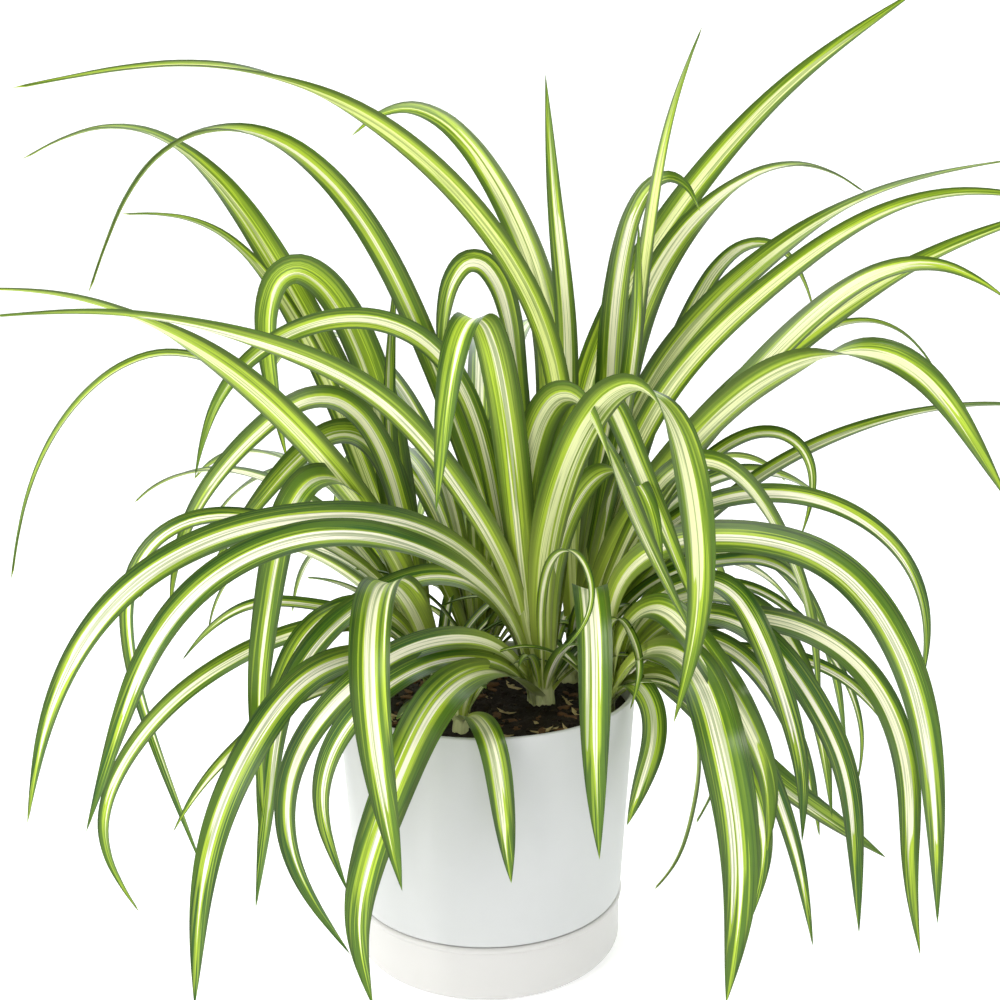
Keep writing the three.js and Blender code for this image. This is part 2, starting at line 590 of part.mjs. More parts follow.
// Frames that turn as little as they can along the path, by two mirrorings a step. The upper
// side starts towards the crown's middle. The blade's facing, times the part of the direction to
// the eye that lies square to the path, is then added to the upper direction.
function bladeFrames(blade) {
  const points = blade.path.map(fromSight);
  const last = points.length - 1;
  const tangents = points.map((_, i) => {
    const before = points[Math.max(i - 1, 0)];
    const after = points[Math.min(i + 1, last)];
    return after.clone().sub(before).normalize();
  });
  let upper = blade.heading.clone().negate();
  upper.addScaledVector(tangents[0], -upper.dot(tangents[0])).normalize();
  return points.map((point, i) => {
    if (i > 0) {
      const chord = point.clone().sub(points[i - 1]);
      const first = 2 / chord.lengthSq();
      const mirroredUpper = upper.clone().addScaledVector(chord, -first * chord.dot(upper));
      const mirroredTangent = tangents[i - 1].clone();
      mirroredTangent.addScaledVector(chord, -first * chord.dot(tangents[i - 1]));
      const turn = tangents[i].clone().sub(mirroredTangent);
      const second = 2 / Math.max(turn.lengthSq(), 1e-12);
      upper = mirroredUpper.addScaledVector(turn, -second * turn.dot(mirroredUpper));
      upper.normalize();
    }
    const share = i / last;
    const twist = THREE.MathUtils.smoothstep(share, TWIST_FROM, TWIST_TO);
    const facing = blade.facing + (blade.tipFacing - blade.facing) * twist;
    const sight = EYE.clone().sub(point).normalize();
    sight.addScaledVector(tangents[i], -sight.dot(tangents[i]));
    const faced = upper.clone().addScaledVector(sight, facing).normalize();
    const across = faced.clone().cross(tangents[i]);
    return { point, upper: faced, across, share };
  });
}

// A blade is keeled: each section is a flat triangle with two margins above a keel, and the
// last point closes it.
function makeBlade(blade) {
  const stations = bladeFrames(blade).filter((_, i) => i % SECTION_STRIDE === 0);
  const positions = [];
  const put = (frame, across, up) => {
    const corner = frame.point.clone();
    corner.addScaledVector(frame.across, across).addScaledVector(frame.upper, up);
    positions.push(corner.x, corner.y, corner.z);
  };
  const rings = stations.length - 1;
  for (let i = 0; i < rings; i += 1) {
    const half = 0.5 * blade.width * widthShare(stations[i].share);
    const keel = Math.max(KEEL_SHARE * half, KEEL_LEAST);
    put(stations[i], -half, 0.5 * keel);
    put(stations[i], half, 0.5 * keel);
    put(stations[i], 0, -0.5 * keel);
  }
  put(stations[rings], 0, 0);
  const index = [0, 1, 2];
  for (let i = 0; i < rings - 1; i += 1) {
    const [leftA, rightA, keelA] = [0, 1, 2].map((k) => 3 * i + k);
    const [leftB, rightB, keelB] = [0, 1, 2].map((k) => 3 * i + 3 + k);
    index.push(leftA, leftB, rightB, leftA, rightB, rightA);
    index.push(leftA, keelA, keelB, leftA, keelB, leftB);
    index.push(rightA, keelB, keelA, rightA, rightB, keelB);
  }
  const end = 3 * (rings - 1);
  const tip = 3 * rings;
  index.push(end, tip, end + 1, end + 1, tip, end + 2, end + 2, tip, end);
  const geometry = new THREE.BufferGeometry();
  geometry.setAttribute("position", new THREE.Float32BufferAttribute(positions, 3));
  geometry.setIndex(index);
  return solidOf(geometry);
}

// ---- the whole plant

const plant = new THREE.Group();

function addPiece(name, solid, color, roughness) {
  const material = new THREE.MeshStandardMaterial({ color, roughness, metalness: 0 });
  const mesh = new THREE.Mesh(mainShell(solid), material);
  mesh.name = name;
  plant.add(mesh);
}

addPiece("saucer", makeSaucer(), 0xebebe6, 0.35);
addPiece("pot", makePot(), 0xdfe4e1, 0.35);
addPiece("potting_soil", makeSoil(), 0x1c1612, 0.95);

const blades = allBlades();
pushApart(blades);
for (const [name, crown] of Object.entries(CROWNS)) {
  const own = blades.filter((blade) => blade.name === name);
  const rosette = own.reduce((joined, blade) => joined.add(makeBlade(blade)), makeStub(crown));
  addPiece(`rosette_${name}`, rosette, 0x8fae3c, 0.5);
}

export default plant;
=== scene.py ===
"""A spider plant of six crowns in a plain white pot and its saucer.

Shapes are worked out in millimetres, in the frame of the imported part: +Z up, origin in the
middle of the saucer's underside. They become metres when their meshes are made.
"""
from functools import partial

import bpy
import numpy as np
from mathutils import Matrix, Vector


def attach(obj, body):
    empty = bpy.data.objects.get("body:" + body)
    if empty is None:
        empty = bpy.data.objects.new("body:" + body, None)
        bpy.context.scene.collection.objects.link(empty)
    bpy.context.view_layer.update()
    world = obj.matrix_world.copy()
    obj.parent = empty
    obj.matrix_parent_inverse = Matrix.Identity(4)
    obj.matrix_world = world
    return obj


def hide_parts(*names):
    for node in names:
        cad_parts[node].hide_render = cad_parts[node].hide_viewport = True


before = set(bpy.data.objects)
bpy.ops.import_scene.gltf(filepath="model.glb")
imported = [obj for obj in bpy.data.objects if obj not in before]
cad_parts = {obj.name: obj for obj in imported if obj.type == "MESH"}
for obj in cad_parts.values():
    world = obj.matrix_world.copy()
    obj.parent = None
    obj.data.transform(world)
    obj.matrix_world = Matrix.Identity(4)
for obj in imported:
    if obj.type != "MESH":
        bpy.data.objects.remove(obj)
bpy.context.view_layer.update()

MM = 0.001

# ---- camera, where the picture was taken from, in mm and degrees

EYE = np.array([7.6, -580.4, 334.6])
CAMERA_PITCH = 79.65
CAMERA_ROLL = -0.42
CAMERA_LENS = 43.2

camera_data = bpy.data.cameras.new("camera")
camera_data.lens = CAMERA_LENS
camera_data.sensor_width = 36
camera_data.clip_start = 0.01
camera = bpy.data.objects.new("camera", camera_data)
bpy.context.scene.collection.objects.link(camera)
camera.matrix_world = (
    Matrix.Translation(Vector(EYE * MM))
    @ Matrix.Rotation(np.radians(CAMERA_PITCH), 4, "X")
    @ Matrix.Rotation(np.radians(CAMERA_ROLL), 4, "Z")
)
bpy.context.scene.camera = camera

# ---- sizes, shared with the part's source

RIM_RADIUS = 75
POT_TOP = 134.3
POT_WALL = 2.4
SHOULDER_RADIUS = 68.4
SHOULDER_HEIGHT = 29
SHOULDER_BAND = 5
FOOT_RADIUS = 63.8
FOOT_HEIGHT = 3.3
POT_FLOOR = 2.8
DRAIN_HOLES = 5
DRAIN_RADIUS = 4
DRAIN_RING = 38
DRILL_TOP = 10
NECK_FLARE = 1
EDGE_ROUNDING = 1.1
SAUCER_RADIUS = 67.8
SAUCER_HEIGHT = 28.6
SAUCER_WALL = 2.2
SAUCER_FLOOR = 3
SAUCER_CORNER = 5
BEAD_RADIUS = 1.6
BEAD_INSET = 0.4
LIP = 0.6
FILLET = 2
SOIL_TOP = 122
SOIL_MOUND = 3
SOIL_ROUGHNESS = 0.8
CRUMB_HEIGHT = 0.7
GAP = 0.35

# Samples along a blade, how deep a crown is set in the soil, how far above it a blade starts,
# and the shares of the way along between which a blade twists.
PATH_STEPS = 18
STUB_DEPTH = 9
ROOT_RISE = 7
TWIST_FROM = 0.5
TWIST_TO = 0.8
SEED = 215

# Width at the foot as a share of the widest, where it is widest, and how late the point starts.
FOOT_WIDTH = 0.5
WIDEST_AT = 0.3
POINT_POWER = 4.6

# Successive leaves of a crown turn by the golden section: a share of the range, or radians.
GOLDEN_SHARE = 0.618034
GOLDEN_ANGLE = 2.4
YOUNG_LEAVES = 9
YOUNG_LEAVES_OF_OFFSET = 3

# Crowns: x, y, radius.
CROWNS = {
    "centre": (28, 0, 9),
    "left": (-25, 20, 8.5),
    "front": (-12, -38, 5.5),
    "right_front": (58, -10, 8),
    "right_back": (44, 38, 8.5),
    "back": (-4, 46, 8.5),
}

# One row a blade: width, facing at the foot, facing at the tip, then points from foot to tip.
# A point is (x, z, depth): where its line of sight meets the upright plane through the pot's
# axis, and how far behind that plane it lies. A facing above 0 turns the upper side of the
# blade towards the eye, and one below 0 the underside.
TRACED = {
    "centre": [
    (13, -1.4, 0.5, (34, 200, 0), (38, 287, -5), (14, 346, -18), (-51, 411, -45),
     (-124, 436, -75), (-217, 424, -105)),
    (14, 2.2, 0.1, (8, 200, 0), (-17, 277, -8), (-60, 371, -20), (-107, 410, -32),
     (-155, 397, -45), (-188, 330, -58)),
    (18, 2, 1.2, (30, 200, 20), (32, 313, 34), (14, 367, 52), (-20, 414, 70), (-45, 418, 86),
     (-61, 401, 95)),
    (12, 1.5, 1, (36, 200, 4), (41, 300, 8), (34, 375, 14), (30, 429, 20)),
    (17, 0.5, 2, (21, 220, 5), (15, 305, 10), (7, 342, 8), (-5, 353, 3), (-16, 340, -4),
     (-20, 310, -8), (-21, 285, -8)),
    (17, -0.5, 1, (19, 190, -12), (11, 270, -40), (3, 312, -64), (-4, 328, -80), (-13, 308, -94),
     (-19, 270, -101), (-24, 222, -104)),
    (13, 1.5, 2, (10, 200, -5), (-5, 275, -14), (-26, 309, -20), (-60, 320, -26),
     (-100, 309, -32), (-130, 282, -36), (-142, 240, -38)),
    (14, -1.2, -0.2, (15, 186, -10), (-12, 235, -30), (-50, 281, -52), (-113, 309, -80),
     (-175, 322, -100), (-235, 320, -118)),
    (15, 1.2, 1.2, (12, 180, -12), (-25, 215, -40), (-85, 222, -75), (-150, 205, -102),
     (-195, 170, -118), (-224, 118, -128), (-238, 60, -132)),
    (15, 1.2, 1.2, (14, 172, -25), (-25, 203, -56), (-80, 214, -94), (-135, 193, -122),
     (-168, 157, -137), (-190, 105, -147), (-208, 55, -152)),
    (15, 1.2, 1.2, (12, 172, -8), (-5, 190, -12), (-25, 195, -8), (-50, 184, -16),
     (-78, 165, -46), (-103, 128, -70), (-113, 70, -80), (-122, 12, -84)),
    (13, 1.5, 1.5, (14, 150, -28), (-5, 160, -45), (-40, 154, -62), (-75, 128, -80),
     (-98, 98, -90), (-106, 62, -93), (-99, 28, -93), (-73, -15, -93)),
    (12, 1.5, 1.5, (10, 145, -35), (-20, 149, -58), (-55, 131, -77), (-80, 100, -87),
     (-87, 68, -90), (-73, 20, -90)),
    (20, 0.8, 0.8, (14, 141, -30), (-6, 142, -56), (-28, 122, -86), (-43, 90, -98),
     (-60, 45, -107), (-70, 0, -113), (-62, -45, -116)),
    (17, -1.2, 0, (18, 175, -10), (19, 230, -22), (28, 273, -40), (41, 289, -56), (54, 272, -68),
     (70, 230, -78), (87, 192, -86), (106, 155, -92)),
    (14, 0, 2, (30, 190, -5), (38, 260, -15), (52, 292, -28), (63, 277, -38), (76, 243, -46),
     (92, 208, -52), (108, 165, -56)),
    (19, -0.4, 2, (27, 185, -14), (38, 240, -38), (58, 280, -70), (78, 293, -93), (93, 272, -105),
     (104, 225, -113), (108, 172, -117), (95, 112, -119)),
    (14, -1, 0.5, (32, 185, -6), (40, 218, -16), (53, 241, -28), (67, 247, -42), (78, 234, -52),
     (85, 212, -58), (88, 190, -60)),
    (5, 0, 0, (28, 178, -32), (34, 201, -62), (45, 204, -86), (54, 185, -99), (51, 165, -103),
     (36, 149, -105)),
    ],
    "left": [
    (19, 2.5, 0.1, (-45, 210, 30), (-62, 270, 50), (-93, 335, 68), (-121, 381, 82),
     (-149, 406, 88), (-180, 410, 92), (-215, 392, 92)),
    (12, 2, 0.3, (-50, 215, 32), (-75, 285, 44), (-101, 336, 54), (-125, 362, 60),
     (-150, 368, 66), (-170, 367, 70)),
    (20, 2, 2, (-42, 220, 20), (-50, 280, 34), (-72, 333, 46), (-90, 350, 52), (-103, 338, 54),
     (-103, 290, 50), (-96, 248, 46)),
    (16, -1.5, 0, (-38, 190, 5), (-60, 226, -15), (-95, 269, -40), (-130, 300, -62),
     (-165, 320, -78), (-205, 332, -90), (-238, 333, -100)),
    (8, 0.5, 0.5, (-33, 180, 8), (-80, 256, -12), (-125, 297, -30), (-152, 307, -38),
     (-195, 283, -48), (-225, 236, -54), (-236, 190, -56)),
    (15, 1.5, 1.5, (-36, 200, 8), (-52, 262, 2), (-74, 286, -5), (-105, 268, -15),
     (-135, 238, -25), (-152, 208, -30), (-158, 172, -34)),
    (17, 1.5, 1.5, (-35, 190, 14), (-48, 250, 10), (-66, 268, 5), (-92, 250, -2),
     (-118, 220, -10), (-136, 196, -14)),
    (9, 1.2, 1.2, (-38, 180, 20), (-46, 270, 24), (-44, 310, 26), (-41, 342, 28)),
    (11, 1.2, 1.2, (-45, 165, -5), (-90, 164, -30), (-125, 150, -48), (-160, 126, -58),
     (-190, 88, -64), (-202, 50, -66), (-183, 10, -68)),
    (10, 1, 1, (-42, 180, 10), (-85, 212, -10), (-130, 225, -25), (-160, 217, -34),
     (-178, 195, -40), (-180, 150, -46), (-168, 98, -50), (-148, 33, -54)),
    (15, 1, 1.5, (-38, 190, 10), (-58, 232, -10), (-82, 247, -38), (-97, 228, -56),
     (-107, 185, -68), (-116, 130, -76), (-116, 62, -80)),
    (19, 0, 0.5, (-29, 158, 0), (-38, 180, -28), (-50, 192, -64), (-57, 172, -97),
     (-59, 130, -114), (-55, 85, -119), (-45, 21, -121)),
    (15, 1.5, 1.5, (-45, 150, -20), (-90, 140, -77), (-122, 98, -107), (-140, 60, -114),
     (-151, 15, -124), (-157, -45, -130)),
    (8, 1, 1, (-50, 140, -10), (-95, 128, -30), (-125, 104, -45), (-148, 80, -52),
     (-163, 55, -55)),
    (8, 1, 1, (-50, 165, 8), (-85, 176, -2), (-118, 177, -12), (-140, 163, -16),
     (-153, 148, -18)),
    (14, 1.2, 1.3, (-40, 165, -5), (-66, 178, -25), (-92, 160, -42), (-108, 120, -52),
     (-115, 75, -56), (-117, 35, -58)),
    ],
    "front": [
    (13, 0, 0, (-7, 118, -60), (1, 107, -81), (5, 90, -86), (8, 65, -87), (12, 25, -87)),
    (8, 0, 0, (-22, 124, -38), (-34, 126, -42), (-46, 116, -52)),
    (8, 0, 0, (-11, 128, -38), (-6, 142, -34), (4, 150, -28)),
    ],
    "right_front": [
    (16, 0, 1.5, (55, 165, -26), (51, 188, -52), (53, 180, -76), (55, 150, -93), (55, 110, -98),
     (56, 70, -100), (58, 38, -100)),
    (6, 0, 0.5, (60, 160, -22), (66, 170, -36), (74, 158, -48), (78, 142, -52), (73, 120, -56)),
    (20, 1.5, 1.5, (75, 150, -40), (95, 152, -76), (110, 135, -106), (119, 105, -126),
     (128, 65, -140), (132, 20, -147), (126, -45, -152)),
    (16, 1.5, 1.5, (66, 160, -24), (82, 177, -40), (100, 163, -70), (118, 138, -98),
     (134, 110, -116), (146, 78, -122), (145, 42, -125)),
    (11, 1, 1, (76, 150, -22), (100, 150, -45), (125, 125, -70), (143, 88, -88), (158, 48, -98),
     (167, 10, -104), (171, -12, -106)),
    (14, 1, 1, (71, 137, -24), (83, 124, -38), (85, 104, -46), (79, 80, -51), (72, 57, -53)),
    (9, 0.5, 0.5, (85, 140, -10), (108, 122, -20), (119, 98, -24), (117, 77, -26),
     (108, 58, -28)),
    (10, 0.5, 0.5, (81, 145, 0), (101, 128, 6), (109, 98, 10), (107, 70, 12), (98, 35, 12),
     (87, 21, 12)),
    (18, 1.5, 1.5, (62, 190, -25), (90, 209, -42), (130, 209, -58), (170, 200, -75),
     (200, 167, -92), (219, 128, -105), (230, 70, -112), (236, 0, -116)),
    (13, 1.2, 1.2, (75, 172, -18), (100, 188, -32), (120, 188, -45), (138, 158, -62),
     (152, 122, -74), (162, 85, -82), (163, 47, -86)),
    (14, 1.5, 1.5, (80, 160, -12), (112, 172, -30), (140, 158, -48), (165, 125, -66),
     (184, 88, -80), (191, 40, -90), (195, -5, -95)),
    (14, 1.5, 1.5, (85, 158, -14), (120, 169, -28), (150, 166, -45), (182, 150, -65),
     (205, 120, -85), (217, 80, -100), (219, 30, -112), (228, -18, -120)),
    (19, 1, 1, (75, 146, -6), (95, 132, -12), (122, 106, -24), (155, 76, -36), (182, 56, -42),
     (207, 38, -46)),
    (13, 1.3, 1.3, (75, 165, -20), (105, 182, -20), (140, 172, -30), (160, 140, -40),
     (172, 100, -48), (178, 60, -50)),
    (13, 1.2, 1.2, (76, 152, -12), (100, 160, -16), (127, 150, -20), (150, 120, -24),
     (165, 85, -28), (172, 50, -30)),
    (13, 1.3, 1.3, (78, 140, -25), (106, 126, -60), (131, 88, -90), (144, 45, -104),
     (138, 4, -108)),
    ],
    "right_back": [
    (11, 1.5, 1, (60, 210, 36), (72, 300, 36), (82, 379, 36), (90, 418, 38), (102, 449, 40)),
    (14, 1.5, 1.5, (55, 200, 30), (68, 270, 26), (74, 320, 24), (74, 360, 22)),
    (18, 2.5, 1.2, (42, 220, 46), (49, 285, 60), (68, 330, 75), (103, 382, 88), (147, 428, 98),
     (205, 467, 104)),
    (18, 1.5, 1, (60, 260, 46), (64, 330, 50), (73, 374, 50), (84, 388, 46), (97, 386, 42),
     (103, 366, 38)),
    (19, 2.5, 0.2, (62, 260, 44), (80, 333, 58), (104, 367, 70), (133, 388, 80), (160, 390, 86),
     (181, 374, 90)),
    (17, 2.2, 0.3, (60, 230, 34), (86, 294, 50), (124, 336, 68), (176, 372, 86), (222, 385, 98),
     (250, 389, 104)),
    (14, 2, 0.8, (64, 230, 24), (92, 288, 24), (140, 334, 24), (188, 367, 24), (223, 376, 24),
     (252, 374, 24), (284, 364, 24)),
    (17, 2, 0.8, (75, 222, 20), (120, 279, 16), (160, 312, 12), (196, 337, 8), (240, 357, 4),
     (280, 369, 0)),
    (17, 1.5, 1.2, (80, 223, 10), (116, 272, 0), (161, 320, -12), (195, 342, -20),
     (223, 342, -26), (251, 324, -32)),
    (20, -1, 1.8, (62, 200, 12), (100, 256, -8), (140, 291, -30), (185, 304, -50),
     (212, 291, -62), (238, 257, -70), (259, 224, -74)),
    (9, 1, 0.5, (90, 230, 48), (130, 285, 54), (174, 317, 60), (199, 314, 62), (214, 300, 64),
     (221, 286, 64)),
    (13, 1.5, 1, (75, 250, 60), (101, 322, 78), (122, 354, 92), (143, 354, 100), (154, 335, 104),
     (159, 318, 104)),
    (10, 1, 0.3, (85, 195, 44), (133, 239, 40), (175, 261, 38), (215, 272, 36), (252, 275, 34),
     (284, 271, 32)),
    (10, 1.2, 1.2, (72, 205, 28), (105, 245, 24), (135, 264, 20), (155, 258, 16), (163, 238, 14),
     (156, 208, 12)),
    (13, 1.2, 1.2, (62, 190, 10), (85, 238, -12), (106, 253, -28), (128, 240, -36),
     (148, 208, -30), (162, 175, -28), (170, 110, -28)),
    (12, 1.2, 1, (66, 185, 20), (95, 221, 8), (145, 232, -6), (185, 220, -16), (212, 195, -22),
     (223, 160, -26), (219, 125, -28)),
    (9, 1, 1, (80, 185, 24), (115, 197, 16), (145, 196, 8), (163, 176, 4), (168, 155, 2)),
    (7, 1, 1, (85, 180, 30), (130, 186, 20), (165, 160, 10), (185, 130, 2), (193, 100, -2),
     (190, 78, -4)),
    (9, 1, 1, (78, 155, 25), (115, 152, 10), (150, 149, 0), (180, 137, -10), (204, 112, -18),
     (214, 92, -22)),
    (13, 1.3, 1.2, (70, 190, 20), (100, 212, 25), (135, 205, 30), (160, 180, 34), (176, 140, 36),
     (184, 95, 36)),
    ],
}

# Blades by rule: crown, count, first and last heading, shortest, longest and steepest start,
# with angles in degrees.
SPRUNG = [
    ("back", 14, 35, 150, 190, 290, 78),
    ("back", 8, 50, 130, 290, 370, 88),
    ("left", 6, 120, 178, 190, 270, 78),
    ("right_back", 6, 5, 60, 190, 270, 78),
]

# Moving blades apart: rounds, smoothing passes and share of the missing clearance a round, how
# far past touching in sight blades count, the clearance as a share of their half widths plus a
# margin, the samples near the foot that stay or move less, and the room kept round the pot's axis.
PUSH_ROUNDS = 80
SMOOTH_PASSES = 10
PUSH_SHARE = 0.6
REACH_MARGIN = 6
CLEAR_SHARE = 0.75
CLEAR_MARGIN = 2
FREE_FROM = 3
ROOT_EASE = 6
POT_CLEARANCE = 85

# ---- meshes and nodes


def linear(code, alpha=1.0):
    """A colour from its sRGB hex value: each channel goes through the sRGB curve to linear."""
    channels = np.array([int(code[i:i + 2], 16) for i in (1, 3, 5)]) / 255
    low = channels / 12.92
    high = ((channels + 0.055) / 1.055) ** 2.4
    return (*np.where(channels <= 0.04045, low, high), alpha)


def add_node(tree, kind, inputs=None, **settings):
    """Adds a shader node. Settings are its properties. Inputs are values, or sockets that feed
    it, or nodes whose first output does."""
    node = tree.nodes.new("ShaderNode" + kind)
    for name, value in settings.items():
        setattr(node, name, value)
    for name, value in (inputs or {}).items():
        if isinstance(value, bpy.types.Node):
            value = value.outputs[0]
        if isinstance(value, bpy.types.NodeSocket):
            tree.links.new(value, node.inputs[name])
        else:
            node.inputs[name].default_value = value
    return node


def new_material(name):
    """An empty node material and add_node for its tree."""
    material = bpy.data.materials.new(name)
    material.use_nodes = True
    material.node_tree.nodes.clear()
    return material, partial(add_node, material.node_tree)


def new_piece(name, points, faces, material, smooth_below=50):
    """Makes an object from points in mm and a list of index arrays with one face a row. Edges
    that bend by more than the angle, in degrees, stay sharp."""
    mesh = bpy.data.meshes.new(name)
    corners = np.concatenate([rows.ravel() for rows in faces])
    totals = np.concatenate([np.full(len(rows), rows.shape[1]) for rows in faces])
    mesh.vertices.add(len(points))
    mesh.vertices.foreach_set("co", (points * MM).astype(np.float32).ravel())
    mesh.loops.add(len(corners))
    mesh.loops.foreach_set("vertex_index", corners.astype(np.int32))
    mesh.polygons.add(len(totals))
    starts = np.concatenate([[0], np.cumsum(totals)[:-1]])
    mesh.polygons.foreach_set("loop_start", starts.astype(np.int32))
    mesh.update(calc_edges=True)
    mesh.validate()
    mesh.materials.append(material)
    mesh.shade_smooth()
    mesh.set_sharp_from_angle(angle=np.radians(smooth_below))
    piece = bpy.data.objects.new(name, mesh)
    bpy.context.scene.collection.objects.link(piece)
    return piece


def copies(faces, count, step):
    """The faces of a shape for this many copies of it, whose points follow each other."""
    offset = (np.arange(count) * step)[:, None, None]
    return [(rows + offset).reshape(-1, rows.shape[1]) for rows in faces]


def place(piece, slot, *nodes):
    """The piece moves with the part and the nodes it stands for are hidden. The slot is not used.
    """
    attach(piece, "root")
    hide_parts(*nodes)


def rounded(corners, radius, steps=5):
    """A profile with its inner corners rounded: each becomes a quadratic curve between the
    points that lie the radius before and after it, with the corner as its middle control."""
    corners = [np.array(corner, float) for corner in corners]
    points = [corners[0]]
    share = np.linspace(0, 1, steps)[:, None]
    for before, corner, after in zip(corners, corners[1:], corners[2:]):
        back = before - corner
        on = after - corner
        back_cut = min(radius, np.linalg.norm(back) / 2.1)
        on_cut = min(radius, np.linalg.norm(on) / 2.1)
        start = corner + back / np.linalg.norm(back) * back_cut
        end = corner + on / np.linalg.norm(on) * on_cut
        points.extend((1 - share) ** 2 * start + 2 * share * (1 - share) * corner
                      + share ** 2 * end)
    points.append(corners[-1])
    return np.array(points)


def stacked(rings, sides):
    """Faces, seen from outside, of rings that follow each other upwards and of two end points
    after them: quads from ring to ring, and a fan from each end point to the ring next to it."""
    ring = np.arange(rings - 1)[:, None] * sides
    here = np.arange(sides)[None, :]
    there = (here + 1) % sides
    quads = np.stack([ring + here, ring + there, ring + sides + there, ring + sides + here], -1)
    first = rings * sides
    last_ring = first - sides
    under = np.stack([np.full(sides, first), there[0], here[0]], -1)
    over = np.stack([np.full(sides, first + 1), last_ring + here[0], last_ring + there[0]], -1)
    return [quads.reshape(-1, 4), under, over]


def turned(profile, sides):
    """A closed turned shape: every point (radius, height) of the profile but its two ends on
    the axis is carried round the axis, x = radius cos, y = radius sin of the turn."""
    turn = np.arange(sides) / sides * 2 * np.pi
    rings = profile[1:-1]
    x = rings[:, :1] * np.cos(turn)
    y = rings[:, :1] * np.sin(turn)
    z = np.repeat(rings[:, 1:], sides, axis=1)
    points = np.stack([x, y, z], axis=-1).reshape(-1, 3)
    ends = np.array([[0, 0, profile[0, 1]], [0, 0, profile[-1, 1]]])
    return np.concatenate([points, ends]), stacked(len(rings), sides)


def outer_radius(height):
    """The pot's wall widens evenly from the shoulder to the rim."""
    rise = (height - SHOULDER_HEIGHT) / (POT_TOP - SHOULDER_HEIGHT)
    return SHOULDER_RADIUS + rise * (RIM_RADIUS - SHOULDER_RADIUS)


def inner_radius(height):
    """The inner wall runs one wall thickness inside the outer one."""
    return outer_radius(height) - POT_WALL


# ---- materials


def moulded_polypropylene(name, colour, shade):
    """Injection-moulded white polypropylene, satin from a finely etched mould: a broad soft
    gloss, a tone clouded every 45 mm by the filled resin, and an orange peel of about 1 mm."""
    material, add = new_material(name)
    coords = add("TexCoord")
    cloud = add("TexNoise", {"Vector": coords.outputs["Object"], "Scale": 22, "Detail": 3})
    tone = add("Mix", {0: cloud, 6: linear(colour), 7: linear(shade)}, data_type="RGBA")
    peel = add("TexNoise", {"Vector": coords.outputs["Object"], "Scale": 900, "Detail": 2})
    bump = add("Bump", {"Height": peel, "Strength": 0.15, "Distance": 0.0002})
    gloss = add("MapRange", {"Value": cloud, "To Min": 0.3, "To Max": 0.44})
    shader = add("BsdfPrincipled", {
        "Base Color": tone.outputs[2], "Roughness": gloss, "IOR": 1.49, "Normal": bump})
    add("OutputMaterial", {"Surface": shader})
    return material


def potting_mix(name, dark, pale):
    """Damp peat potting mix, crumbled by hand: matt, near black, mottled at 1 to 4 mm. The
    same rough fibrous finish, in paler colours, is that of its bark and dry leaf scraps."""
    material, add = new_material(name)
    coords = add("TexCoord")
    crumbs = add("TexNoise", {
        "Vector": coords.outputs["Object"], "Scale": 260, "Detail": 6, "Roughness": 0.7})
    tone = add("Mix", {0: crumbs, 6: linear(dark), 7: linear(pale)}, data_type="RGBA")
    bump = add("Bump", {"Height": crumbs, "Strength": 0.8, "Distance": 0.0015})
    shader = add("BsdfPrincipled", {
        "Base Color": tone.outputs[2], "Roughness": 0.9, "IOR": 1.4, "Normal": bump})
    add("OutputMaterial", {"Surface": shader})
    return material


